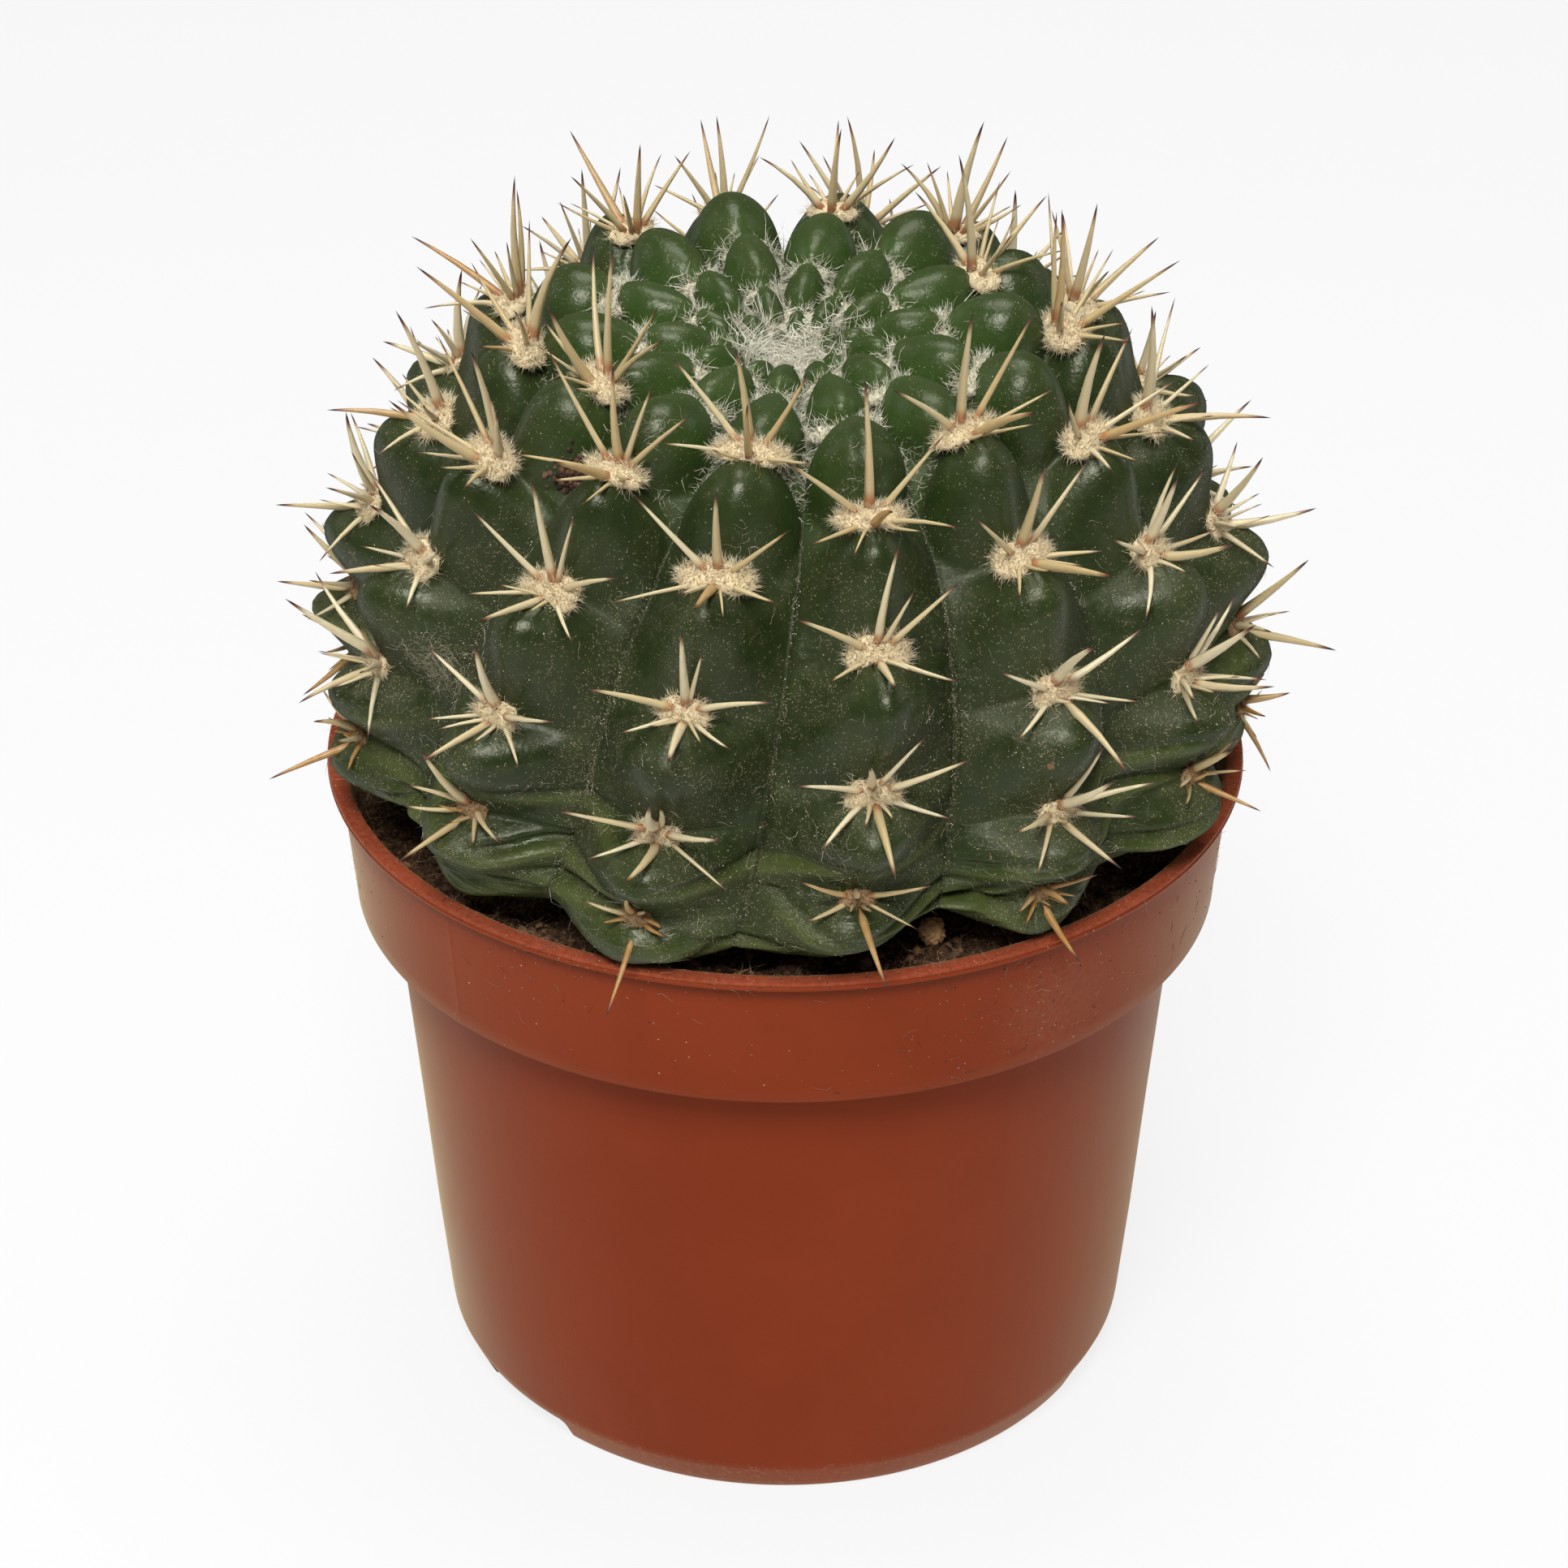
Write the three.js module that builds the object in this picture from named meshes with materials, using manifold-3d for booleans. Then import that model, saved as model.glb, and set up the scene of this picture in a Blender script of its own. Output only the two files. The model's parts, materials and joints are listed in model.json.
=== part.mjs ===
// A round, ribbed cactus growing in a 12 cm plastic nursery pot of peat soil.
// Millimetres, +Z up. The origin is the middle of the pot's base; the best side of the plant faces -Y.

import * as THREE from "three";
import { mergeVertices } from "three/addons/utils/BufferGeometryUtils.js";
import Module from "manifold-3d";

const wasm = await Module();
wasm.setup();

// Pot: injection-moulded, thin-walled, with a collar below a flat lip
const POT_HEIGHT = 90;
const RIM_RADIUS = 60;
const WALL = 1.2;
const LIP_WIDTH = 2.1;
const LIP_THICKNESS = 1.6;
const LIP_OVERHANG = 1.3;
const COLLAR_DEPTH = 19.3;
const COLLAR_FOOT_RADIUS = 57;
const COLLAR_ROUND = 0.8;
const BODY_TOP_RADIUS = 52.5;
const BODY_FOOT_RADIUS = 46.8;
const CHAMFER_HEIGHT = 4.4;
const BASE_RADIUS = 44.8;
const FLOOR = 1.5;
const POT_SIDES = 48;

// Drainage notches cut through the bottom corner of the pot
const NOTCHES = 3;
const FIRST_NOTCH_DEGREES = 219;
const NOTCH_WIDTH = 23;
const NOTCH_HEIGHT = 3.6;
const NOTCH_DEPTH = 4;

// Soil: a plug of peat, 8 mm below the rim
const SOIL_LEVEL = POT_HEIGHT - 8;
const SOIL_LUMP = 0.9;
const SOIL_RINGS = 7;
const CLEARANCE = 0.3;

// Plant: a flattened ball that leans a little towards the viewer
const RIBS = 14;
const PLANT_X = 1;
const PLANT_Y = 0;
const LEAN = THREE.MathUtils.degToRad(6.2);
const PLANT_RADIUS = 57;
const WIDEST_ABOVE_RIM = 11.2;
const CROWN_RISE = 49.4;
const UNDERSIDE_DROP = 21;
const CROWN_FULLNESS = 2.6;
const UNDERSIDE_FULLNESS = 1.55;
const NECK_RADIUS = 43;
const NECK_LENGTH = 22;
const CROWN_DISH_DEPTH = 2.6;
const CROWN_DISH_RADIUS = 11;

// Growth: one areole a level on each rib, each rib 6/14 of a level on from the last
const LEVEL_SHIFT = 6 / 14;
const FIRST_RIB = THREE.MathUtils.degToRad(14.5);
const TWIST_PER_LEVEL = THREE.MathUtils.degToRad(2.3);
const FIRST_LEVEL = 1.62;
const LEVEL_PITCH = 18.65;
const CROWN_GROWTH = 21.9;
const OLD_GROWTH_LOSS = 2.26;
const OLD_GROWTH_START = 1.5;

// Relief of the skin, as shares of half a rib's width
const FURROW_SHARE = { crown: 0.25, flank: 0.45 };
const TUBERCLE_SHARE = { crown: 1.15, flank: 0.4 };
const OLD_RELIEF_SHARE = 0.6;
const OLD_SKIN_START = 74;
const OLD_SKIN_END = 92;
const CROWN_EDGE = 13;
const FLANK_EDGE = 38;
const PAD_RADIUS = 3.6;
const PAD_HEIGHT = 1.3;
const WOOL_EDGE = 7;
const WOOL_RING = 3.2;
const WOOL_HEIGHT = 1.5;

// How finely the skin is built; rows are counted from the front rib's first areole
const COLUMNS_PER_RIB = 6;
const ROWS_PER_LEVEL = 7;
const FIRST_ROW = -20;
const CLOSE_ROW = -6;
const LAST_ROW = 28;
const UNDERSIDE_ROWS = 4;
const NECK_ROWS = 3;
const PROFILE_SPAN = 1.5;

// Spines of one areole, in their order round it from the crownward one: turn from the side
// towards the crown, tilt from the outward direction, and length
const SPINES = [
  { turn: 94, tilt: 36, length: 13 },
  { turn: 30, tilt: 56, length: 13 },
  { turn: -30, tilt: 66, length: 10.5 },
  { turn: -92, tilt: 38, length: 13 },
  { turn: 210, tilt: 66, length: 10.5 },
  { turn: 152, tilt: 56, length: 13 },
];
const FIRST_SPINY_ROW = -5;
const CROWN_SPINE_RISE = 18;
const CROWN_SPINE_GAIN = 1.25;
const OLD_SPINE_SHARE = 0.72;
const SPINE_ROOT = 1;
const FIRST_HOST_TURN = THREE.MathUtils.degToRad(150);
const SPINE_JITTER = 5;

// How far a spine keeps from what is round it, and the steps in which its aim is turned until it does
const POT_GAP = 1.2;
const SKIN_GAP = 0.8;
const SPINE_GAP = 1.5;
const ROOT_GAP = 0.9;
const ROOT_SHARE = 0.45;
const ROOT_GAP_SHARE = 0.55;
const AIM_STEP = 0.07;
const AIM_RINGS = 16;
const AIMS_A_RING = 8;
const SHORTER_A_RING = 0.02;

// A closed three.js geometry as a solid, with its shared vertices merged.
function solidFrom(geometry) {
  const bare = geometry.clone();
  bare.deleteAttribute("normal");
  bare.deleteAttribute("uv");
  const merged = mergeVertices(bare, 1e-4);
  return new wasm.Manifold(
    new wasm.Mesh({
      numProp: 3,
      vertProperties: new Float32Array(merged.attributes.position.array),
      triVerts: new Uint32Array(merged.index.array),
    }),
  );
}

function geometryFrom(solid) {
  const { vertProperties, triVerts } = solid.getMesh();
  const geometry = new THREE.BufferGeometry();
  geometry.setAttribute("position", new THREE.BufferAttribute(vertProperties, 3));
  geometry.setIndex(new THREE.BufferAttribute(triVerts, 1));
  geometry.computeVertexNormals();
  return geometry;
}

function indexedGeometry(points, faces) {
  const geometry = new THREE.BufferGeometry();
  geometry.setAttribute(
    "position",
    new THREE.Float32BufferAttribute(points.flatMap((point) => point.toArray()), 3),
  );
  geometry.setIndex(faces);
  return geometry;
}

// A profile of [radius, height] pairs from the bottom axis to the top axis, turned about Z.
function turned(profile) {
  const points = profile.map(([radius, height]) => new THREE.Vector2(radius, height));
  return new THREE.LatheGeometry(points, POT_SIDES).rotateX(Math.PI / 2);
}

function smoothstep(low, high, value) {
  const share = THREE.MathUtils.clamp((value - low) / (high - low), 0, 1);
  return share * share * (3 - 2 * share);
}

// Repeatable random numbers from 0 to 1.
function seededRandom(seed) {
  let state = seed;
  return () => {
    state = (state * 1664525 + 1013904223) % 4294967296;
    return state / 4294967296;
  };
}

// Pot

const collarFoot = POT_HEIGHT - COLLAR_DEPTH;
const lipFoot = POT_HEIGHT - LIP_THICKNESS;
const innerRim = RIM_RADIUS - LIP_WIDTH;
const collarTopRadius = RIM_RADIUS - LIP_OVERHANG;

function potSolid() {
  const shell = solidFrom(
    turned([
      [0, 0],
      [BASE_RADIUS, 0],
      [BODY_FOOT_RADIUS, CHAMFER_HEIGHT],
      [BODY_TOP_RADIUS, collarFoot],
      [COLLAR_FOOT_RADIUS - COLLAR_ROUND, collarFoot],
      [COLLAR_FOOT_RADIUS, collarFoot + COLLAR_ROUND],
      [collarTopRadius, lipFoot],
      [RIM_RADIUS, lipFoot + 0.4],
      [RIM_RADIUS, POT_HEIGHT - 0.5],
      [RIM_RADIUS - 0.4, POT_HEIGHT],
      [innerRim, POT_HEIGHT],
      [collarTopRadius - WALL - 0.4, lipFoot],
      [COLLAR_FOOT_RADIUS - WALL, collarFoot + WALL + COLLAR_ROUND],
      [BODY_TOP_RADIUS - WALL, collarFoot + WALL],
      [BODY_FOOT_RADIUS - WALL, CHAMFER_HEIGHT],
      [BASE_RADIUS - WALL, FLOOR],
      [0, FLOOR],
    ]),
  );
  return notchCutters().reduce((pot, cutter) => pot.subtract(cutter), shell);
}

function notchCutters() {
  return Array.from({ length: NOTCHES }, (_, index) => {
    const outline = new THREE.BoxGeometry(2 * NOTCH_DEPTH, NOTCH_WIDTH, 2 * NOTCH_HEIGHT);
    outline.translate(BODY_FOOT_RADIUS, 0, 0);
    outline.rotateZ(THREE.MathUtils.degToRad(FIRST_NOTCH_DEGREES + (360 / NOTCHES) * index));
    return solidFrom(outline);
  });
}

// Plant: the profile that its areoles lie on, from the apex down to the root neck

const profile = plantProfile();

function plantProfile() {
  const steps = 120;
  const points = [];
  for (let step = 0; step <= steps; step++) {
    const angle = (step / steps) * (Math.PI / 2);
    const radius = PLANT_RADIUS * Math.sin(angle) ** (2 / CROWN_FULLNESS);
    const dish = CROWN_DISH_DEPTH * Math.exp(-((radius / CROWN_DISH_RADIUS) ** 2));
    const rise = CROWN_RISE * Math.cos(angle) ** (2 / CROWN_FULLNESS);
    points.push(new THREE.Vector2(radius, WIDEST_ABOVE_RIM + rise - dish));
  }
  for (let step = 1; step <= steps; step++) {
    const angle = (step / steps) * (Math.PI / 2);
    const radius = PLANT_RADIUS * Math.cos(angle) ** (2 / UNDERSIDE_FULLNESS);
    if (radius < NECK_RADIUS) break;
    const drop = UNDERSIDE_DROP * Math.sin(angle) ** (2 / UNDERSIDE_FULLNESS);
    points.push(new THREE.Vector2(radius, WIDEST_ABOVE_RIM - drop));
  }
  const start = points.at(-1);
  for (let step = 1; step <= steps / 4; step++) {
    const angle = (step / (steps / 4)) * (Math.PI / 2);
    const radius = start.x * Math.cos(angle) ** 0.8;
    points.push(new THREE.Vector2(radius, start.y - NECK_LENGTH * Math.sin(angle)));
  }
  const lengths = [0];
  for (let i = 1; i < points.length; i++) {
    lengths.push(lengths[i - 1] + points[i].distanceTo(points[i - 1]));
  }
  return { points, lengths, total: lengths.at(-1), neck: lengths[points.indexOf(start)] };
}

function onProfile(length) {
  const { points, lengths } = profile;
  const wanted = THREE.MathUtils.clamp(length, 0, profile.total);
  let index = lengths.findIndex((value) => value >= wanted);
  index = Math.max(index, 1);
  const share = (wanted - lengths[index - 1]) / (lengths[index] - lengths[index - 1]);
  return points[index - 1].clone().lerp(points[index], share);
}

// Length down the profile at which a level lies: close levels at the crown, even ones on the flank.
function lengthAtLevel(level) {
  const grown = CROWN_GROWTH * Math.log1p(Math.exp((LEVEL_PITCH * level) / CROWN_GROWTH));
  const old = Math.max(0, level - FIRST_LEVEL - OLD_GROWTH_START);
  return grown - OLD_GROWTH_LOSS * old * old;
}

// How far the tubercles stand over the areole line and the furrows lie below it, where across
// runs from -0.5 to 0.5 over one rib and along is 0 at an areole and 0.5 between two areoles.
function relief(length, radius, across, along) {
  const half = (Math.PI * radius) / RIBS;
  const flank = smoothstep(CROWN_EDGE, FLANK_EDGE, radius);
  const old = smoothstep(OLD_SKIN_START, OLD_SKIN_END, length);
  const size = half * THREE.MathUtils.lerp(1, OLD_RELIEF_SHARE, old);
  const side = Math.abs(2 * across);
  const end = 1 - Math.abs(2 * along);
  const ball = Math.sqrt(Math.max(0, 1 - side ** 2 - end ** 2));
  const swell = Math.cos((Math.PI / 2) * end) ** 1.3 * Math.cos((Math.PI / 2) * side) ** 1.2;
  const tubercleShare = THREE.MathUtils.lerp(TUBERCLE_SHARE.crown, TUBERCLE_SHARE.flank, flank);
  const furrowShare = THREE.MathUtils.lerp(FURROW_SHARE.crown, FURROW_SHARE.flank, flank);
  const distance = Math.hypot(side * half, along * LEVEL_PITCH);
  const padHeight = PAD_HEIGHT * smoothstep(WOOL_EDGE, CROWN_EDGE, radius);
  const pad = padHeight * Math.exp(-((distance / PAD_RADIUS) ** 2));
  return {
    tubercle: size * tubercleShare * THREE.MathUtils.lerp(ball, swell, flank) + pad,
    furrow: size * furrowShare * side ** 1.8,
  };
}

function plantAngle(rib, level) {
  return FIRST_RIB + (rib * 2 * Math.PI) / RIBS - TWIST_PER_LEVEL * (level - FIRST_LEVEL);
}

// The outward, crownward and sideways directions of the profile at a length and an angle.
function directionsAt(length, angle) {
  const along = onProfile(length + PROFILE_SPAN).sub(onProfile(length - PROFILE_SPAN));
  along.normalize();
  const sine = Math.sin(angle);
  const cosine = Math.cos(angle);
  return {
    outward: new THREE.Vector3(-along.y * sine, along.y * cosine, along.x),
    crownward: new THREE.Vector3(-along.x * sine, along.x * cosine, -along.y),
    sideways: new THREE.Vector3(cosine, sine, 0),
  };
}

// A point of the skin in the plant's own frame, with grow to move it outwards.
function skinPoint(rib, { level, length, ribFade, tubercleFade }, grow) {
  const nearest = Math.round(rib);
  const phase = level - FIRST_LEVEL + LEVEL_SHIFT * nearest;
  const line = onProfile(length);
  const angle = plantAngle(rib, level);
  const along = phase - Math.round(phase);
  const { tubercle, furrow } = relief(length, line.x, rib - nearest, along);
  const height = tubercleFade * tubercle - ribFade * furrow;
  const point = new THREE.Vector3(line.x * Math.sin(angle), -line.x * Math.cos(angle), line.y);
  return point.addScaledVector(directionsAt(length, angle).outward, height + grow);
}

// The rows of the skin: by level from the wool at the apex down the ribs, and then by length
// along the underside, where the tubercles and then the ribs fade into the root neck.
function skinRows() {
  const rows = [{ level: FIRST_LEVEL, length: WOOL_RING, ribFade: 0, tubercleFade: 0, row: null }];
  for (let row = FIRST_ROW; row <= LAST_ROW; row += row < CLOSE_ROW ? 2 : 1) {
    const level = FIRST_LEVEL + row / ROWS_PER_LEVEL;
    rows.push({ level, length: lengthAtLevel(level), ribFade: 1, tubercleFade: 1, row });
  }
  const { level, length: lastLength } = rows.at(-1);
  const below = [];
  for (let step = 1; step <= UNDERSIDE_ROWS; step++) {
    below.push(THREE.MathUtils.lerp(lastLength, profile.neck, step / UNDERSIDE_ROWS));
  }
  for (let step = 1; step <= NECK_ROWS; step++) {
    below.push(THREE.MathUtils.lerp(profile.neck, profile.total, step / (NECK_ROWS + 0.5)));
  }
  for (const length of below) {
    const ribFade = 1 - smoothstep(profile.neck - 4, profile.neck + 12, length);
    const tubercleFade = 1 - smoothstep(lastLength, lastLength + 10, length);
    rows.push({ level, length, ribFade, tubercleFade, row: null });
  }
  return rows;
}

function isSpinyAreole(rib, { row }) {
  if (row === null || row < FIRST_SPINY_ROW || !Number.isInteger(rib)) return false;
  return Number.isInteger(row / ROWS_PER_LEVEL + Math.round(rib * LEVEL_SHIFT * 7) / 7);
}

// The skin as points and triangles, with the areoles that carry spines.
function skinSurface(grow) {
  const columns = RIBS * COLUMNS_PER_RIB;
  const rows = skinRows();
  const points = [new THREE.Vector3(0, 0, onProfile(0).y + WOOL_HEIGHT + grow)];
  const skin = [];
  const areoles = new Map();
  for (const row of rows) {
    for (let column = 0; column < columns; column++) {
      const rib = column / COLUMNS_PER_RIB;
      if (isSpinyAreole(rib, row)) areoles.set(points.length, { rib, ...row });
      const point = skinPoint(rib, row, grow);
      points.push(point);
      skin.push({ point, outward: directionsAt(row.length, plantAngle(rib, row.level)).outward });
    }
  }
  points.push(new THREE.Vector3(0, 0, onProfile(profile.total).y - grow));
  const at = (row, column) => 1 + row * columns + (column % columns);
  const triangles = [];
  for (let column = 0; column < columns; column++) {
    triangles.push([0, at(0, column), at(0, column + 1)]);
    for (let row = 0; row < rows.length - 1; row++) {
      const opposite = at(row + 1, column + 1);
      triangles.push([at(row, column), at(row + 1, column), opposite]);
      triangles.push([at(row, column), opposite, at(row, column + 1)]);
    }
    const last = rows.length - 1;
    triangles.push([at(last, column), points.length - 1, at(last, column + 1)]);
  }
  return { points, skin, triangles, areoles };
}

const plantPlace = new THREE.Matrix4().makeRotationX(LEAN).setPosition(PLANT_X, PLANT_Y, POT_HEIGHT);

// Spines: each is drawn up out of one of the six triangles that meet at an areole

// Whether a spine passes over the soil and over or outside the rim.
function clearsPot(spine) {
  for (let share = 0.2; share <= 1; share += 0.1) {
    const point = spine.at(share, new THREE.Vector3()).applyMatrix4(plantPlace);
    const radius = Math.hypot(point.x, point.y);
    const overWall = radius > innerRim - 2 * POT_GAP;
    const floor = overWall ? POT_HEIGHT : soilHeight(point.x, point.y);
    if (radius < RIM_RADIUS + POT_GAP && point.z < floor + POT_GAP) return false;
  }
  return true;
}

// Whether the outer part of a spine stays over the skin, judged at the nearest skin point.
function clearsSkin(spine, skin) {
  for (let share = 0.4; share <= 1; share += 0.15) {
    const point = spine.at(share, new THREE.Vector3());
    let nearest = skin[0];
    let least = Infinity;
    for (const place of skin) {
      const distance = place.point.distanceToSquared(point);
      if (distance < least) {
        least = distance;
        nearest = place;
      }
    }
    if (point.sub(nearest.point).dot(nearest.outward) < SKIN_GAP) return false;
  }
  return true;
}

// Whether a spine keeps clear of the others; those of its own areole may come close at the root.
function clearsSpines(spine, areole, placed) {
  return placed.every((other) => {
    const rootGap = Math.min(ROOT_GAP, ROOT_GAP_SHARE * spine.start.distanceTo(other.spine.start));
    const gap = other.areole === areole ? rootGap : SPINE_GAP;
    return spine.distanceSqToLine3(other.spine) > gap * gap;
  });
}

// The spine nearest to the aimed one that keeps clear of the pot, the soil, the skin and the
// spines placed before it: its aim is turned aside in wider and wider rings.
function clearSpine(root, aimed, length, areole, skin, placed) {
  const across = new THREE.Vector3(0, 0, 1).cross(aimed).normalize();
  const upward = aimed.clone().cross(across);
  for (let ring = 0; ring <= AIM_RINGS; ring++) {
    const reach = length * (1 - SHORTER_A_RING * ring);
    for (let side = 0; side < (ring ? AIMS_A_RING : 1); side++) {
      const angle = (side / AIMS_A_RING) * 2 * Math.PI;
      const aim = aimed
        .clone()
        .addScaledVector(upward, ring * AIM_STEP * Math.cos(angle))
        .addScaledVector(across, ring * AIM_STEP * Math.sin(angle))
        .normalize();
      const spine = new THREE.Line3(root, root.clone().addScaledVector(aim, reach));
      if (clearsPot(spine) && clearsSpines(spine, areole, placed) && clearsSkin(spine, skin)) {
        return spine;
      }
    }
  }
  throw new Error(`no clear place for a spine of the areole at level ${areole.level}`);
}

// The spine that grows at root on an areole, as it is aimed before it is cleared.
function aimedSpine(areole, spine, random) {
  const angle = plantAngle(areole.rib, areole.level);
  const { outward, crownward, sideways } = directionsAt(areole.length, angle);
  const crown = 1 - smoothstep(FIRST_LEVEL, 3, areole.level);
  const old = smoothstep(4.4, 5.4, areole.level);
  const turn = THREE.MathUtils.degToRad(spine.turn + SPINE_JITTER * (2 * random() - 1));
  const tiltDegrees = spine.tilt - CROWN_SPINE_RISE * crown + SPINE_JITTER * (2 * random() - 1);
  const tilt = THREE.MathUtils.degToRad(tiltDegrees);
  const crownGain = THREE.MathUtils.lerp(1, CROWN_SPINE_GAIN, crown);
  const oldShare = THREE.MathUtils.lerp(1, OLD_SPINE_SHARE, old);
  const length = spine.length * crownGain * oldShare * (0.9 + 0.2 * random());
  const aimed = outward
    .clone()
    .multiplyScalar(Math.cos(tilt))
    .addScaledVector(crownward, Math.sin(tilt) * Math.sin(turn))
    .addScaledVector(sideways, Math.sin(tilt) * Math.cos(turn));
  return { aimed, length };
}

// Turn of a triangle's middle round its areole, from the side towards the crown.
function turnRound(areole, centre, middle) {
  const angle = plantAngle(areole.rib, areole.level);
  const { crownward, sideways } = directionsAt(areole.length, angle);
  const aside = middle.clone().sub(centre);
  return Math.atan2(aside.dot(crownward), aside.dot(sideways));
}

// The triangles round an areole with their middles, clockwise from the crownward one.
function hostsRound(areole, centre, around, points) {
  const hosts = around.map((triangle) => {
    const middle = new THREE.Vector3();
    for (const corner of triangle) middle.addScaledVector(points[corner], 1 / 3);
    const turn = FIRST_HOST_TURN - turnRound(areole, centre, middle);
    return { triangle, middle, clockwise: THREE.MathUtils.euclideanModulo(turn, 2 * Math.PI) };
  });
  return hosts.sort((a, b) => a.clockwise - b.clockwise);
}

function withSpines({ points, skin, triangles, areoles }) {
  const random = seededRandom(14);
  const grown = points.slice();
  const plain = [];
  const placed = [];
  const hosts = new Map([...areoles.keys()].map((index) => [index, []]));
  for (const triangle of triangles) {
    const corner = triangle.findIndex((index) => areoles.has(index));
    if (corner < 0) plain.push(triangle);
    else hosts.get(triangle[corner]).push(triangle);
  }
  for (const [index, around] of hosts) {
    const areole = areoles.get(index);
    hostsRound(areole, points[index], around, points).forEach(({ triangle, middle }, order) => {
      const { aimed, length } = aimedSpine(areole, SPINES[order], random);
      const spine = clearSpine(middle, aimed, length, areole, skin, placed);
      placed.push({ areole, spine });
      const widest = Math.max(...triangle.map((corner) => points[corner].distanceTo(middle)));
      const rootShare = Math.min(ROOT_SHARE, SPINE_ROOT / widest);
      const root = triangle.map((corner) => {
        grown.push(middle.clone().lerp(points[corner], rootShare));
        return grown.length - 1;
      });
      grown.push(spine.end);
      const tip = grown.length - 1;
      for (let side = 0; side < 3; side++) {
        const next = (side + 1) % 3;
        plain.push([triangle[side], triangle[next], root[next]]);
        plain.push([triangle[side], root[next], root[side]]);
        plain.push([root[side], root[next], tip]);
      }
    });
  }
  return { points: grown, triangles: plain };
}

function surfaceSolid({ points, triangles }) {
  return solidFrom(indexedGeometry(points, triangles.flat()));
}

// Soil

function soilHeight(x, y) {
  const broad = Math.sin(0.42 * x + 1.1) * Math.cos(0.37 * y - 0.6);
  const fine = 0.6 * Math.sin(0.7 * x - 0.55 * y);
  return SOIL_LEVEL + SOIL_LUMP * (broad + fine);
}

function soilSolid() {
  const shoulder = collarFoot + WALL;
  const topRadius = COLLAR_FOOT_RADIUS - WALL + 0.3;
  const outline = [
    [0, FLOOR + CLEARANCE],
    [BASE_RADIUS - WALL - CLEARANCE, FLOOR + CLEARANCE],
    [BODY_FOOT_RADIUS - WALL - CLEARANCE, CHAMFER_HEIGHT],
    [BODY_TOP_RADIUS - WALL - CLEARANCE, shoulder + CLEARANCE],
    [COLLAR_FOOT_RADIUS - WALL - CLEARANCE, shoulder + COLLAR_ROUND + CLEARANCE],
  ];
  for (let ring = 0; ring <= SOIL_RINGS; ring++) {
    outline.push([THREE.MathUtils.lerp(topRadius, NECK_RADIUS - 10, ring / SOIL_RINGS), SOIL_LEVEL]);
  }
  outline.push([0, SOIL_LEVEL]);
  const plug = turned(outline);
  const position = plug.attributes.position;
  for (let i = 0; i < position.count; i++) {
    if (position.getZ(i) > SOIL_LEVEL - 1) {
      position.setZ(i, soilHeight(position.getX(i), position.getY(i)));
    }
  }
  const hollow = surfaceSolid(skinSurface(CLEARANCE)).transform(plantPlace.elements);
  return solidFrom(plug).subtract(hollow);
}

function meshOf(name, solid, color, roughness) {
  const material = new THREE.MeshStandardMaterial({ color, roughness, metalness: 0 });
  const mesh = new THREE.Mesh(geometryFrom(solid), material);
  mesh.name = name;
  return mesh;
}

const pot = meshOf("pot", potSolid(), 0x8f3f29, 0.5);
const soil = meshOf("soil", soilSolid(), 0x33241a, 1);
const cactus = meshOf("cactus", surfaceSolid(withSpines(skinSurface(0))), 0x2f4a2d, 0.45);
cactus.applyMatrix4(plantPlace);

const pottedCactus = new THREE.Group();
pottedCactus.add(pot, soil, cactus);

export default pottedCactus;
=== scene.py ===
# A round, ribbed cactus in a 12 cm nursery pot of peat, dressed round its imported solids.
# Lengths are worked out in millimetres and turned into metres as each mesh is made.

import json
import math

import bpy
import numpy as np
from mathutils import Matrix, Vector, kdtree, noise

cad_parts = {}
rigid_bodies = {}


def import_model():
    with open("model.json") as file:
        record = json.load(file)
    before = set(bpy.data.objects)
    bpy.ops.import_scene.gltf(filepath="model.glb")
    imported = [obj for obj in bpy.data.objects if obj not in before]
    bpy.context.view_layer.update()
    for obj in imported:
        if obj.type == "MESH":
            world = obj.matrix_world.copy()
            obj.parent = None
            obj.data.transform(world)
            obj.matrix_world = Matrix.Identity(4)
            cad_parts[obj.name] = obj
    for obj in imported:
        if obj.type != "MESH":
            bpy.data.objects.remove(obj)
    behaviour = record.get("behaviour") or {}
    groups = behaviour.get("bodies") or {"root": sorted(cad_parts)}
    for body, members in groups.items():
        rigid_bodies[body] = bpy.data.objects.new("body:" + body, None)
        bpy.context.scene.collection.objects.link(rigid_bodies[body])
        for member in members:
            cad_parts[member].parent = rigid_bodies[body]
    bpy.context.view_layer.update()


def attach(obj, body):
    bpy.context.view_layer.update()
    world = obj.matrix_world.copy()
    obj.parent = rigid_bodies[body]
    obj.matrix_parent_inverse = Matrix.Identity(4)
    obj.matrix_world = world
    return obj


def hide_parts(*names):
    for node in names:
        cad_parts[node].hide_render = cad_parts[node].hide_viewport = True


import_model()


# Camera, light and floor
# The camera stands half a metre in front of the pot and looks down on it at 31 degrees. A soft box
# shines from above the camera, a weaker one from overhead and a faint one from each side. The floor
# is a plain pale sheet, bright by itself.
METRE = 0.001
PHOTO_SIDE = 1932
FOCAL_PIXELS = 5520
POT_AXIS_PIXEL = 967.3
CAMERA_DISTANCE = 510
CAMERA_HEIGHT = 386.8
CAMERA_PITCH = 0.5381

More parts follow.
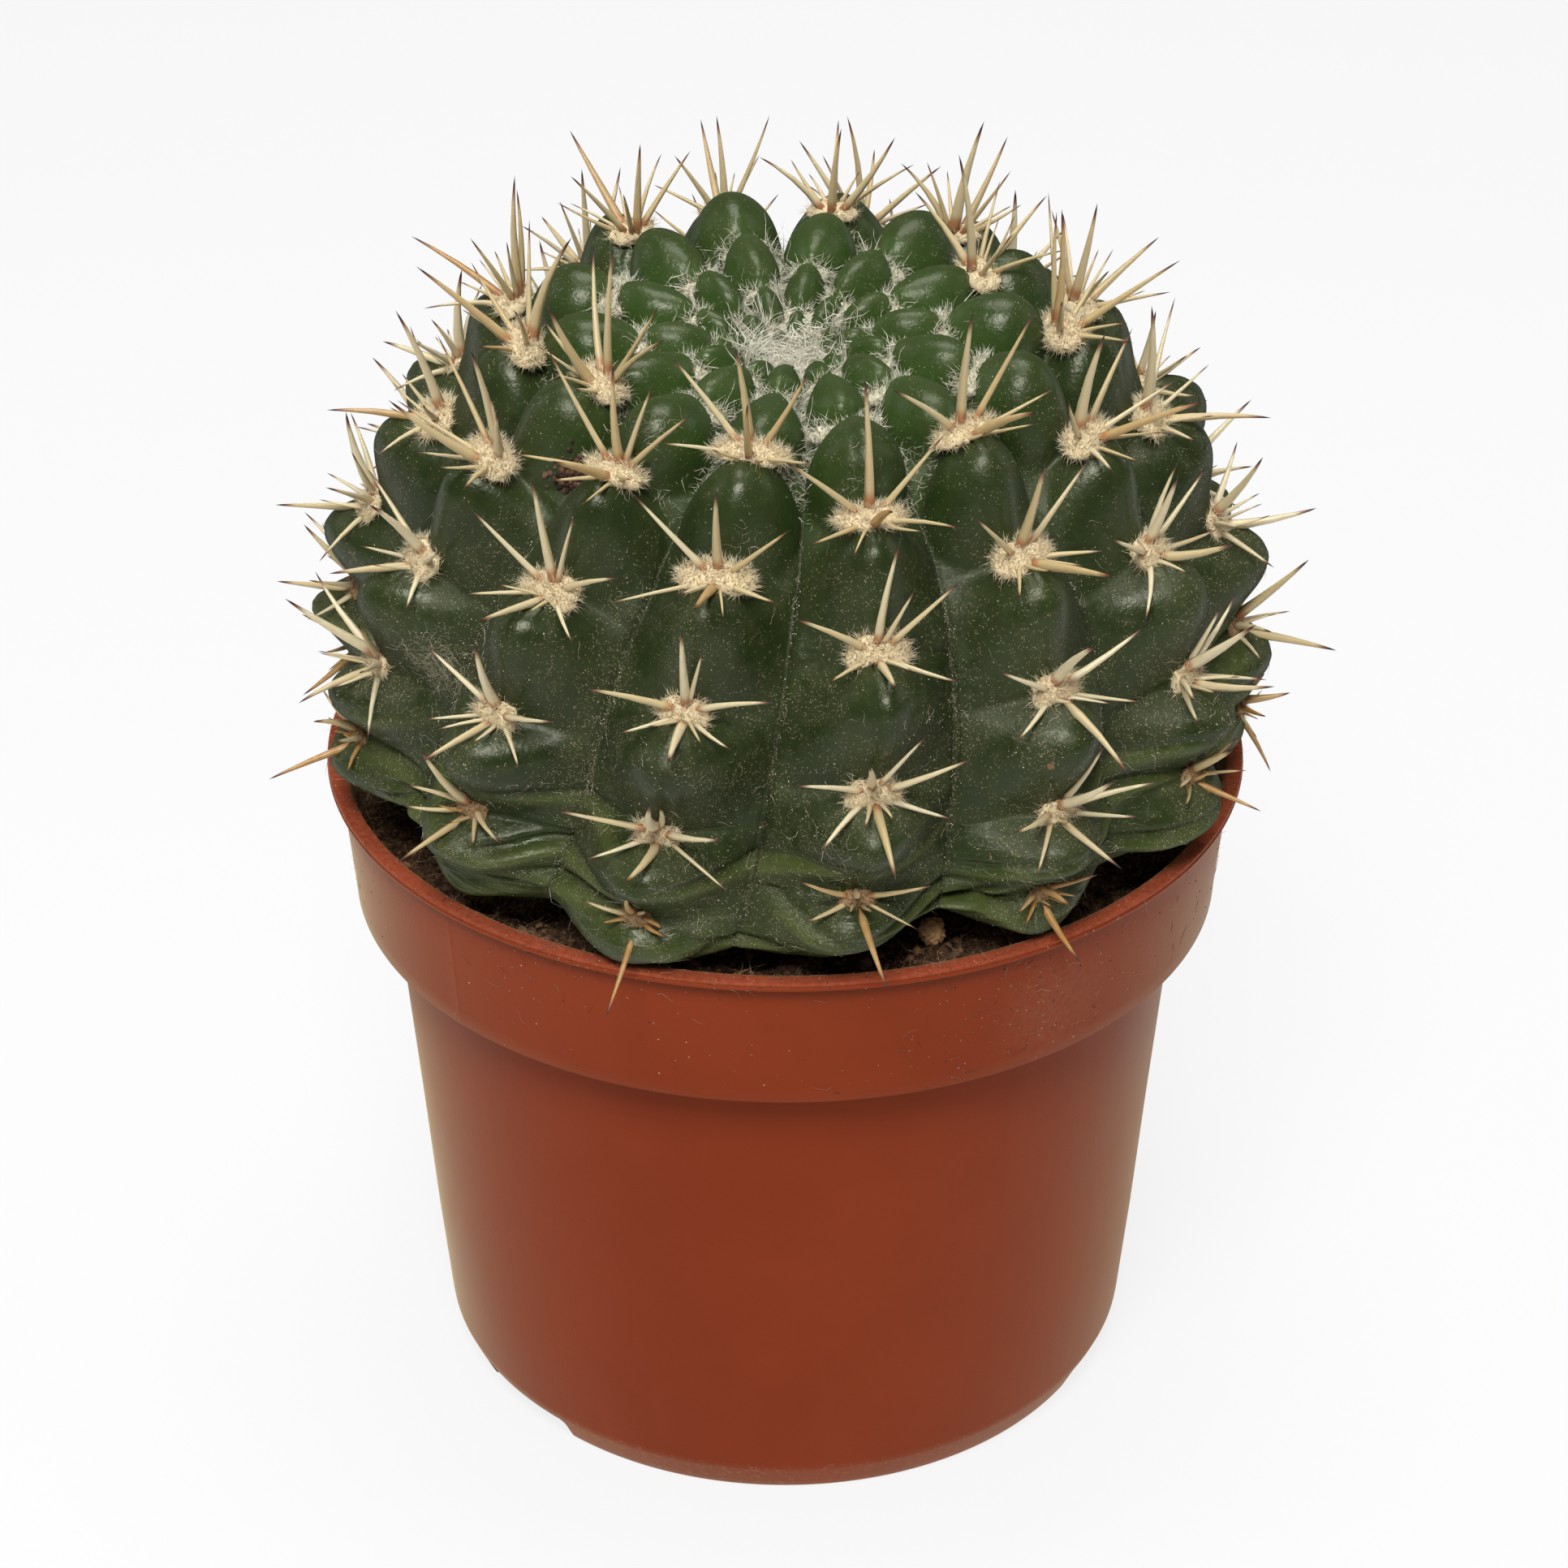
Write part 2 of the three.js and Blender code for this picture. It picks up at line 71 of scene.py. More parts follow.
camera_data = bpy.data.cameras.new("camera")
camera_data.sensor_width = 36
camera_data.lens = 36 * FOCAL_PIXELS / PHOTO_SIDE
camera_data.shift_x = -(POT_AXIS_PIXEL - PHOTO_SIDE / 2) / PHOTO_SIDE
camera_data.clip_end = 20
camera = bpy.data.objects.new("camera", camera_data)
camera.location = (0, -CAMERA_DISTANCE * METRE, CAMERA_HEIGHT * METRE)
camera.rotation_euler = (math.pi / 2 - CAMERA_PITCH, 0, 0)
bpy.context.scene.collection.objects.link(camera)
bpy.context.scene.camera = camera
bpy.context.scene.view_settings.view_transform = "Standard"

world = bpy.data.worlds.new("studio")
bpy.context.scene.world = world
world.use_nodes = True
world.node_tree.nodes["Background"].inputs["Color"].default_value = (1, 1, 1, 1)
world.node_tree.nodes["Background"].inputs["Strength"].default_value = 0.11

for name, place, size, power in (
    ("box_front", (-0.10, -0.62, 0.90), 0.36, 8.9),
    ("box_above", (0.0, 0.12, 1.0), 0.5, 4.9),
    ("box_left", (-0.9, 0.2, 0.6), 0.6, 1.0),
    ("box_right", (0.95, 0.2, 0.6), 0.6, 1.0),
):
    light_data = bpy.data.lights.new(name, "AREA")
    light_data.shape = "SQUARE"
    light_data.size = size
    light_data.energy = power
    light = bpy.data.objects.new(name, light_data)
    light.location = place
    light.rotation_euler = (Vector((0, 0, 0.1)) - Vector(place)).to_track_quat("-Z", "Y").to_euler()
    bpy.context.scene.collection.objects.link(light)


def new_material(name):
    """A material and its Principled shader."""
    material = bpy.data.materials.new(name)
    material.use_nodes = True
    return material, material.node_tree.nodes["Principled BSDF"]


def node(owner, kind, links=(), **settings):
    """A new node of a material or a node tree, with its settings and what goes into its sockets."""
    tree = getattr(owner, "node_tree", owner)
    made = tree.nodes.new(kind)
    for key, value in settings.items():
        setattr(made, key, value)
    for socket, source in dict(links).items():
        if isinstance(source, bpy.types.NodeSocket):
            tree.links.new(source, made.inputs[socket])
        else:
            made.inputs[socket].default_value = source
    return made


def link(material, source, target):
    """Wires one socket of a material to another."""
    material.node_tree.links.new(source, target)


def place_of(material):
    """The place on the object that a pattern is read at."""
    return node(material, "ShaderNodeTexCoord").outputs["Object"]


def noise_at(material, scale, detail=4, roughness=0.5, distortion=0.0, place=None):
    """Noise with its scale in patches a metre."""
    links = {"Vector": place or place_of(material), "Scale": scale, "Detail": detail}
    links.update({"Roughness": roughness, "Distortion": distortion})
    return node(material, "ShaderNodeTexNoise", links).outputs["Fac"]


def mixed(material, share, first, second):
    """A mix of two colours, each a socket or three numbers."""
    made = material.node_tree.nodes.new("ShaderNodeMix")
    made.data_type = "RGBA"
    for index, source in ((0, share), (6, first), (7, second)):
        if isinstance(source, bpy.types.NodeSocket):
            link(material, source, made.inputs[index])
        elif index == 0:
            made.inputs[index].default_value = source
        else:
            made.inputs[index].default_value = (*source, 1)
    return made.outputs[2]


def set_inputs(shader, values):
    """Sets what is the same all over a finish."""
    for name, value in values.items():
        shader.inputs[name].default_value = value


floor_mesh = bpy.data.meshes.new("floor")
floor_mesh.from_pydata([(-4, -4, 0), (4, -4, 0), (4, 4, 0), (-4, 4, 0)], [], [(0, 1, 2, 3)])
floor = bpy.data.objects.new("floor", floor_mesh)
bpy.context.scene.collection.objects.link(floor)
paper, shader = new_material("floor_paper")
grain = noise_at(paper, 4, detail=2)
link(paper, mixed(paper, grain, (0.12, 0.12, 0.12), (0.13, 0.13, 0.13)), shader.inputs["Base Color"])
set_inputs(shader, {"Roughness": 1.0, "Specular IOR Level": 0.0})
set_inputs(shader, {"Emission Color": (1, 1, 1, 1), "Emission Strength": 0.835})
floor_mesh.materials.append(paper)


# Pot
# One thin-walled injection moulding in reddish brown polypropylene, semi-matte from handling: a flat
# lip, a collar, a step in to the body, a chamfered foot and three notches that let water out.
POT_HEIGHT = 90
RIM_RADIUS = 60
SEAM_DEGREES = -136
SEAM_HALF_WIDTH = math.radians(0.25)
SEAM_HEIGHT = 0.05
RIM_SWAY = 0.18
NOTCH_DEGREES = (219, 339, 99)
NOTCH_WIDTH = 17.8
NOTCH_HEIGHT = 3.6

# Each part of the pot's outline gives radius and height, from the middle of the base outwards.
FOOT_OUTLINE = (
    (0.02, 0.0), (20, 0.0), (40, 0.0), (44.2, 0.0), (44.65, 0.12), (44.95, 0.5), (45.4, 1.4),
    (46.1, 2.9), (46.62, 4.1), (46.84, 4.6), (46.95, 5.4),
)
BODY_OUTLINE = (
    (48.3, 20), (49.7, 38), (51.2, 56), (52.15, 67.5), (52.4, 69.6), (52.75, 70.35), (53.3, 70.65),
    (54.2, 70.7), (56.6, 70.72), (56.98, 70.74), (57.04, 70.86),
)
COLLAR_OUTLINE = ((57.18, 73), (57.7, 79), (58.3, 85.5), (58.62, 88.3), (58.74, 88.7))
LIP_OUTLINE = (
    (59.1, 88.84), (59.74, 88.88), (59.94, 88.98), (60.0, 89.16), (59.97, 89.32), (59.84, 89.41),
    (59.8, 89.48), (59.9, 89.57), (59.93, 89.78), (59.84, 89.94), (59.6, 90.0), (58.9, 89.97),
    (58.0, 89.94), (57.72, 89.82),
)
INNER_OUTLINE = (
    (57.58, 89.5), (57.4, 88.3), (57.1, 86), (56.5, 79), (55.9, 73.2), (55.6, 72.3), (54.8, 71.95),
    (51.3, 71.9), (50.9, 66), (48.5, 38), (45.7, 5.2), (45.2, 3.8), (43.8, 1.8), (43.2, 1.55),
    (20, 1.5), (0.02, 1.5),
)
POT_OUTLINE = FOOT_OUTLINE + BODY_OUTLINE + COLLAR_OUTLINE + LIP_OUTLINE + INNER_OUTLINE


def piece_from(name, points, faces, smooth=True, **attributes):
    """An object at the origin from points in millimetres, with a float attribute for each name."""
    mesh = bpy.data.meshes.new(name)
    mesh.from_pydata((np.asarray(points) * METRE).tolist(), [], faces)
    mesh.polygons.foreach_set("use_smooth", [smooth] * len(mesh.polygons))
    for key, values in attributes.items():
        values = np.asarray(values, dtype=np.float32)
        kind = "FLOAT" if values.ndim == 1 else "FLOAT_VECTOR"
        made = mesh.attributes.new(key, kind, "POINT")
        made.data.foreach_set("value" if values.ndim == 1 else "vector", values.ravel())
    piece = bpy.data.objects.new(name, mesh)
    bpy.context.scene.collection.objects.link(piece)
    return piece


def ring_faces(rows, columns):
    """Faces between rows of a closed ring of points, facing out where the rows run upwards."""
    faces = []
    for row in range(rows - 1):
        for column in range(columns):
            after = (column + 1) % columns
            here, above = row * columns, (row + 1) * columns
            faces.append((here + column, here + after, above + after, above + column))
    return faces


def closed_faces(rows, columns):
    """The faces between rows of a closed ring, with the first and the last row closed as well."""
    faces = ring_faces(rows, columns)
    faces.append(tuple(range(columns))[::-1])
    faces.append(tuple(range((rows - 1) * columns, rows * columns)))
    return faces


def circle_at(radius, height, angles):
    """One row of points, with one radius or one for each angle."""
    level = np.full(len(angles), height)
    return np.stack([radius * np.cos(angles), radius * np.sin(angles), level], 1)


def pot_piece():
    """The pot as one closed shell round its axis, with a fine mould seam and a rim not quite round."""
    seam = math.radians(SEAM_DEGREES)
    all_round = np.linspace(0, 2 * math.pi, 240, endpoint=False)
    over_seam = seam + np.radians([-0.5, -0.22, 0, 0.22, 0.5])
    angles = np.concatenate([all_round, over_seam])
    angles = np.unique(np.round(np.mod(angles, 2 * math.pi), 5))
    beside_seam = np.angle(np.exp(1j * (angles - seam)))
    rows = []
    for radius, height in POT_OUTLINE:
        outside = 71 < height < 88.2 and radius > 56.9
        ridge = SEAM_HEIGHT * np.exp(-((beside_seam / SEAM_HALF_WIDTH) ** 2)) if outside else 0
        sway = RIM_SWAY * np.cos(2 * angles + 0.7) * (height / POT_HEIGHT) ** 3 * (radius > 30)
        rows.append(circle_at(radius + ridge + sway, height, angles))
    return piece_from("pot_shell", np.concatenate(rows), closed_faces(len(rows), len(angles)))


def notch_cutter(degrees):
    """A block with rounded corners that reaches through the foot of the pot."""
    inner, outer = 42.8, 52
    half, top = NOTCH_WIDTH / 2, NOTCH_HEIGHT
    corner, inset = 0.8, 0.25
    outline = [(-half, -3), (half, -3), (half, top - corner), (half - inset, top - inset)]
    outline += [(half - corner, top), (-half + corner, top)]
    outline += [(-half + inset, top - inset), (-half, top - corner)]
    turn = math.radians(degrees)
    points = []
    for reach in (inner, outer):
        for aside, height in outline:
            x = reach * math.cos(turn) - aside * math.sin(turn)
            y = reach * math.sin(turn) + aside * math.cos(turn)
            points.append((x, y, height))
    count = len(outline)
    faces = [tuple(range(count))[::-1], tuple(range(count, 2 * count))]
    for side in range(count):
        after = (side + 1) % count
        faces.append((side, after, count + after, count + side))
    return piece_from(f"notch_{degrees}", points, faces, smooth=False)


def without_scratch(piece, *scratch):
    """The piece with its modifiers applied, and the objects it was cut or grown with removed."""
    depsgraph = bpy.context.evaluated_depsgraph_get()
    mesh = bpy.data.meshes.new_from_object(piece.evaluated_get(depsgraph), depsgraph=depsgraph)
    mesh.name = piece.name
    piece.modifiers.clear()
    piece.data = mesh
    for other in scratch:
        bpy.data.objects.remove(other)
    return piece


pot = pot_piece()
cutters = [notch_cutter(degrees) for degrees in NOTCH_DEGREES]
for cutter in cutters:
    cut = pot.modifiers.new(cutter.name, "BOOLEAN")
    cut.operation = "DIFFERENCE"
    cut.solver = "EXACT"
    cut.object = cutter
without_scratch(pot, *cutters)
pot.data.set_sharp_from_angle(angle=math.radians(50))


def between(material, value, low, high, out_low=0.0, out_high=1.0):
    """A value eased from one range to another."""
    links = {"Value": value, "From Min": low, "From Max": high, "To Min": out_low, "To Max": out_high}
    made = node(material, "ShaderNodeMapRange", links, interpolation_type="SMOOTHSTEP")
    return made.outputs["Result"]


def maths(owner, operation, first, second=0.0):
    """One step of arithmetic in a material or a node tree."""
    return node(owner, "ShaderNodeMath", {0: first, 1: second}, operation=operation).outputs[0]


def times(owner, first, second):
    """The product of two sockets or numbers."""
    return maths(owner, "MULTIPLY", first, second)


def stretched_place(material, stretch):
    """The place on the object, shrunk along an axis so that noise which reads it is drawn out there."""
    places = {0: place_of(material), 1: stretch}
    return node(material, "ShaderNodeVectorMath", places, operation="MULTIPLY").outputs[0]


def distance_from(material, place):
    """How far, in metres, a point of the surface lies from a place."""
    ends = {0: place_of(material), 1: place}
    return node(material, "ShaderNodeVectorMath", ends, operation="DISTANCE").outputs["Value"]


def bumped(material, shader, height, strength, distance):
    """A fine relief under a shader's normal, its distance in metres."""
    links = {"Height": height, "Strength": strength, "Distance": distance}
    made = node(material, "ShaderNodeBump", links)
    link(material, made.outputs["Normal"], shader.inputs["Normal"])


# Places and heights on the pot in metres, as its material reads them.
SCUFF_PLACE = (0.0335, -0.0470, 0.0785)
LIP_DUST_AND_LIGHT = (0.0892, 0.0899)
CHAMFER_WEAR = (0.0056, 0.0046)
PAINTED_SHADE_BANDS = ((0.0655, 0.0703), (0.0862, 0.0884))
plastic, shader = new_material("pot_plastic")
cloud = noise_at(plastic, 22, detail=5, roughness=0.6)
streak = noise_at(plastic, 160, detail=3, place=stretched_place(plastic, (1, 1, 0.12)))
base = mixed(plastic, between(plastic, cloud, 0.35, 0.7), (0.214, 0.030, 0.0085), (0.244, 0.0365, 0.0110))
base = mixed(plastic, between(plastic, streak, 0.55, 0.8, 0, 0.25), base, (0.258, 0.041, 0.013))
grime = between(plastic, noise_at(plastic, 900, detail=3, roughness=0.7), 0.66, 0.78, 0, 0.55)
base = mixed(plastic, grime, base, (0.07, 0.035, 0.02))
height_up = node(plastic, "ShaderNodeSeparateXYZ", {0: place_of(plastic)}).outputs[2]
rub = noise_at(plastic, 1300, detail=4, roughness=0.7)
# Partly dust and partly painted light: the flat top of the lip is painted a lighter orange in rubbed
# patches, for the dust on it and for the light falling on its upward face.
lip = between(plastic, height_up, *LIP_DUST_AND_LIGHT)
lip_dust_and_light = times(plastic, lip, between(plastic, rub, 0.35, 0.65, 0.25, 0.8))
base = mixed(plastic, lip_dust_and_light, base, (0.36, 0.085, 0.042))
chamfer = between(plastic, height_up, *CHAMFER_WEAR)
chamfer_wear = times(plastic, chamfer, between(plastic, rub, 0.5, 0.75, 0, 0.5))
base = mixed(plastic, chamfer_wear, base, (0.36, 0.15, 0.085))
# Painted shade: the plastic is darkened in a band just under the collar and a band just under the lip,
# where their overhangs shade the wall.
for low, high in PAINTED_SHADE_BANDS:
    painted_shade_ramp = between(plastic, height_up, low, high, 0, 0.45)
    corner = times(plastic, painted_shade_ramp, between(plastic, height_up, high + 0.0007, high + 0.0004))
    base = mixed(plastic, corner, base, (0.085, 0.020, 0.008))
scuff = between(plastic, distance_from(plastic, SCUFF_PLACE), 0.011, 0.001)
scuff = times(plastic, scuff, between(plastic, rub, 0.3, 0.7, 0.02, 0.18))
base = mixed(plastic, scuff, base, (0.36, 0.20, 0.13))
link(plastic, base, shader.inputs["Base Color"])
link(plastic, between(plastic, cloud, 0.3, 0.7, 0.38, 0.5), shader.inputs["Roughness"])
set_inputs(shader, {"IOR": 1.17, "Specular Tint": (1.0, 0.74, 0.50, 1)})
set_inputs(shader, {"Sheen Weight": 0.29, "Sheen Roughness": 0.36})
set_inputs(shader, {"Sheen Tint": (1.0, 0.84, 0.38, 1)})
bumped(plastic, shader, noise_at(plastic, 2600, detail=2), 0.2, 0.0001)
pot.data.materials.clear()
pot.data.materials.append(plastic)
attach(pot, "root")
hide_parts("pot")


# Cactus skin
# The waxy dark green skin of the living plant, one closed surface from the woolly apex down into the
# soil. It grew in 14 ribs of tubercles with an areole between each two, and follows that rule here.
RIBS = 14
PLANT_X = 1.0
LEAN = math.radians(6.2)
PLANT_RADIUS = 57
WIDEST = 11.2
CROWN_RISE = 49.4
CROWN_FULLNESS = 2.6
UNDERSIDE_DROP = 21
UNDERSIDE_FULLNESS = 1.55
NECK_RADIUS = 43
LEVEL_SHIFT = 6 / 14
FIRST_RIB = math.radians(14.5)
TWIST = math.radians(2.3)
FIRST_LEVEL = 1.62
LEVEL_PITCH = 18.65
CROWN_GROWTH = 21.9
OLD_GROWTH_LOSS = 2.26
# How far a tubercle swells, as a share of half a rib's width, and the pad that its areole sits on.
CROWN_SWELL = 1.3
FLANK_SWELL = 0.58
PAD_HEIGHT = 1.1
PAD_REACH = 3.4
AREOLE_REACH = 5.5
# Low at the front right the skin is drawn in by this much, about this angle.
TUCK = 3.0
TUCK_ANGLE = math.radians(21)
TUCK_SPREAD = 0.24


def ease(low, high, value):
    """A share that runs smoothly from 0 at one value to 1 at the other."""
    share = np.clip((value - low) / (high - low), 0, 1)
    return share * share * (3 - 2 * share)


def plant_profile():
    """Radius, height and length from the apex along the line that the areoles lie on."""
    angle = np.linspace(0, math.pi / 2, 240)
    radius = PLANT_RADIUS * np.sin(angle) ** (2 / CROWN_FULLNESS)
    height = WIDEST + CROWN_RISE * np.cos(angle) ** (2 / CROWN_FULLNESS)
    height = height - 2.6 * np.exp(-((radius / 11) ** 2))
    under_radius = PLANT_RADIUS * np.cos(angle[1:]) ** (2 / UNDERSIDE_FULLNESS)
    under_height = WIDEST - UNDERSIDE_DROP * np.sin(angle[1:]) ** (2 / UNDERSIDE_FULLNESS)
    kept = under_radius >= NECK_RADIUS
    neck = len(angle) + kept.sum() - 1
    turn = np.linspace(0, math.pi / 2, 60)[1:]
    neck_radius = under_radius[kept][-1] * np.cos(turn) ** 0.8
    neck_height = under_height[kept][-1] - 22 * np.sin(turn)
    radius = np.concatenate([radius, under_radius[kept], neck_radius])
    height = np.concatenate([height, under_height[kept], neck_height])
    length = np.concatenate([[0], np.cumsum(np.hypot(np.diff(radius), np.diff(height)))])
    return radius, height, length, length[neck]


PROFILE_RADIUS, PROFILE_HEIGHT, PROFILE_LENGTH, NECK_LENGTH = plant_profile()


def on_profile(length):
    """Radius and height of the plant so far along its profile from the apex."""
    return (
        np.interp(length, PROFILE_LENGTH, PROFILE_RADIUS),
        np.interp(length, PROFILE_LENGTH, PROFILE_HEIGHT),
    )


def length_at(level):
    """How far from the apex a level of areoles lies: close together in the crown, then evenly."""
    grown = CROWN_GROWTH * np.log1p(np.exp(LEVEL_PITCH * level / CROWN_GROWTH))
    return grown - OLD_GROWTH_LOSS * np.maximum(0, level - FIRST_LEVEL - 1.5) ** 2


def angle_at(rib, level):
    """The angle of a rib at a level, as the ribs wind slightly round the plant."""
    return FIRST_RIB + rib * 2 * math.pi / RIBS - TWIST * (level - FIRST_LEVEL)


def leaned(vectors):
    """Vectors of the plant turned with its lean towards the viewer."""
    x, y, z = vectors[..., 0], vectors[..., 1], vectors[..., 2]
    return np.stack(
        [x, y * math.cos(LEAN) - z * math.sin(LEAN), y * math.sin(LEAN) + z * math.cos(LEAN)], -1
    )


def directions_at(length, angle):
    """Outward, crownward and sideways directions on the plant."""
    radius_before, height_before = on_profile(length - 1.5)
    radius_after, height_after = on_profile(length + 1.5)
    outwards, downwards = radius_after - radius_before, height_after - height_before
    size = np.hypot(outwards, downwards)
    along_r, along_z = outwards / size, downwards / size
    sine, cosine = np.sin(angle), np.cos(angle)
    outward = np.stack([-along_z * sine, along_z * cosine, along_r], -1)
    crownward = np.stack([-along_r * sine, along_r * cosine, -along_z], -1)
    sideways = np.stack([cosine, sine, np.zeros_like(sine)], -1)
    return leaned(outward), leaned(crownward), leaned(sideways)


def chance(rib, step, salt):
    """A repeatable number from 0 to 1 for one tubercle."""
    value = np.sin(rib * 12.9898 + step * 78.233 + salt * 37.719) * 43758.5453
    return value - np.floor(value)


SKIN_CREASES = (
    # length from the apex, start of its wave and depth of each fold
    (75.5, 2.2, 0.5),
    (79.5, 5.0, 0.9),
    (83.0, 0.0, 1.2),
    (86.5, 1.7, 1.4),
    (89.5, 3.1, 1.5),
    (93.0, 4.4, 1.4),
)


def skin_at(rib, level, length, rib_fade, tubercle_fade):
    """Points of the skin in millimetres, with what its colours are mixed by."""
    nearest = np.round(rib)
    across = rib - nearest
    phase = level - FIRST_LEVEL + LEVEL_SHIFT * nearest
    step = np.round(phase)
    along = phase - step
    between_step = np.floor(phase)
    radius, height = on_profile(length)
    angle = angle_at(rib, level)
    half = math.pi * radius / RIBS
    flank = ease(24, 46, radius)
    old = ease(74, 92, length)
    growth = 1 + 0.22 * (chance(np.mod(nearest, RIBS), between_step, 1) - 0.5)
    size = half * (1 - 0.4 * old) * growth
    side = np.abs(2 * across)
    end = 1 - np.abs(2 * along)
    ball = np.maximum(0, 1 - np.hypot(side, end) ** 2.5) ** 0.53
    down = phase - between_step
    shoulder = np.maximum(0, np.sin(math.pi * (down + 0.62 * down * (1 - down)))) ** 1.1
    swell = shoulder * np.cos(math.pi / 2 * side) ** 1.6
    rise = CROWN_SWELL + 0.3 * ease(18, 8, radius) + (FLANK_SWELL - CROWN_SWELL) * flank
    sunk = 0.13 * flank * (1 - old) * (1 - side**2)
    tubercle = size * (rise * (ball + (swell - ball) * flank) - sunk)
    distance = np.hypot(side * half, along * LEVEL_PITCH)
    pad = PAD_HEIGHT * ease(7, 13, radius) * np.exp(-((distance / PAD_REACH) ** 2))
    ridge = (np.sqrt(side**2 + 0.03) - 0.173) / 0.842
    groove = np.exp(-(((1 - side) * half / 0.4) ** 2))
    rounded = side**1.7
    furrow = size * (0.25 + 0.16 * flank) * (rounded + (ridge - rounded) * flank)
    furrow = furrow + 0.4 * flank * groove
    furrow = furrow * (1 - 0.7 * ease(76, 93, length))
    lift = tubercle_fade * (tubercle + pad) - rib_fade * furrow
    rolls = np.zeros_like(lift)
    for start, wave, depth in SKIN_CREASES:
        line = start + 2.0 * np.sin(5 * angle + wave) + 1.2 * np.sin(13 * angle + 2 * wave)
        broken = ease(-0.9, 0.4, np.sin(9 * angle + 3 * wave)) * (0.4 + 0.6 * ease(0.0, 0.5, side))
        fold = broken * np.exp(-(((length - line) / 0.5) ** 2))
        roll = broken * np.exp(-(((length - line - 1.5) / 1.1) ** 2))
        lift = lift - depth * rib_fade * (fold - 0.6 * roll)
        rolls = np.maximum(rolls, roll)
    from_tuck = np.mod(angle + 3, 2 * math.pi) - 3 - TUCK_ANGLE
    lift = lift - TUCK * ease(80, 90, length) * np.exp(-((from_tuck / TUCK_SPREAD) ** 2))
    point = np.stack([radius * np.sin(angle), -radius * np.cos(angle), height], -1)
    outward, _, _ = directions_at(length, angle)
    point = leaned(point) + outward * lift[..., None] + np.array([PLANT_X, 0, POT_HEIGHT])
    return point, {
        "furrow": side**3 * rib_fade,
        "dome": (ball + (swell - ball) * flank) * tubercle_fade,
        "age": length / 110,
        "near_areole": np.exp(-((distance / AREOLE_REACH) ** 2)) * tubercle_fade,
        "crown": 1 - ease(16, 40, radius),
        "roll": rolls * rib_fade,
    }


SKIN_COLUMNS = RIBS * 30
SKIN_ROWS = (112, 78, 20)
WRINKLED_FROM = 72
SKIN_LAST_LEVEL = 5.62
FURROW_CROWDING = 0.55


def skin_piece():
    """The skin as one grid of rows down the plant, closed at the apex and under the soil."""
    first_level, first_length, end_gap = -2.2, 2.6, 5
    last_length = float(length_at(SKIN_LAST_LEVEL))
    levels_down = np.linspace(first_level, SKIN_LAST_LEVEL, 4000)
    lengths_down = length_at(levels_down)
    upper = np.linspace(first_length, WRINKLED_FROM, SKIN_ROWS[0], endpoint=False)
    wrinkled = np.linspace(WRINKLED_FROM, last_length + end_gap, SKIN_ROWS[1], endpoint=False)
    below = np.linspace(last_length + end_gap, PROFILE_LENGTH[-1] - 2, SKIN_ROWS[2])
    length = np.concatenate([upper, wrinkled, below])
    level = np.interp(length, lengths_down, levels_down)
    rib_fade = (1 - ease(NECK_LENGTH - 4, NECK_LENGTH + 12, length)) * ease(3, 8, length)
    tubercle_fade = (1 - ease(last_length, last_length + 10, length)) * ease(3.5, 6.5, length)
    rib = np.arange(SKIN_COLUMNS) / SKIN_COLUMNS * RIBS
    rib = rib + FURROW_CROWDING * np.sin(2 * math.pi * rib) / (2 * math.pi)
    grids = np.meshgrid(rib, np.arange(len(length)))
    ribs, rows = grids[0], grids[1]
    points, facts = skin_at(ribs, level[rows], length[rows], rib_fade[rows], tubercle_fade[rows])
    points = points[::-1].reshape(-1, 3)
    facts = {key: value[::-1].ravel() for key, value in facts.items()}
    for index in range(len(points)):
        points[index] += 0.12 * noise.noise(Vector(points[index]) * 0.16)
    return piece_from("cactus_skin", points, closed_faces(len(length), SKIN_COLUMNS), **facts)


def attribute(material, name):
    """A number that each point of the mesh carries under a name."""
    return node(material, "ShaderNodeAttribute", attribute_name=name).outputs["Fac"]


skin = skin_piece()
green, shader = new_material("cactus_skin")
SCARS = (
    # place in millimetres, reach and colour of each corky spot
    ((-24.7, -26.7, 141.8), 1.8, (0.050, 0.030, 0.018)),
    ((-2.4, -53.7, 108.9), 0.2, (0.085, 0.035, 0.02)),
    ((31.6, -52.5, 115.9), 0.2, (0.20, 0.11, 0.04)),
    ((-58.5, -9.5, 127.0), 2.6, (0.13, 0.075, 0.035)),
)
patch = noise_at(green, 60, detail=5, roughness=0.6)
mottle = noise_at(green, 420, detail=4, roughness=0.65)
furrow, dome = attribute(green, "furrow"), attribute(green, "dome")
age, crown = attribute(green, "age"), attribute(green, "crown")
near_areole, roll = attribute(green, "near_areole"), attribute(green, "roll")
base = mixed(green, between(green, patch, 0.35, 0.7), (0.0125, 0.0215, 0.0052), (0.022, 0.0345, 0.0080))
base = mixed(green, between(green, mottle, 0.45, 0.75, 0, 0.5), base, (0.032, 0.046, 0.0120))
worn = times(green, crown, between(green, dome, 0.80, 1.0, 0, 0.25))
base = mixed(green, worn, base, (0.056, 0.056, 0.026))
fresh = times(green, crown, between(green, dome, 1.0, 0.5, 0.45, 1.0))
base = mixed(green, times(green, fresh, 0.85), base, (0.042, 0.088, 0.017))
base = mixed(green, between(green, age, 0.72, 0.88, 0, 0.55), base, (0.050, 0.070, 0.014))
# Painted highlight: the rolls of skin below the creases are painted a lighter yellow-green.
base = mixed(green, times(green, roll, 0.55), base, (0.085, 0.108, 0.024))
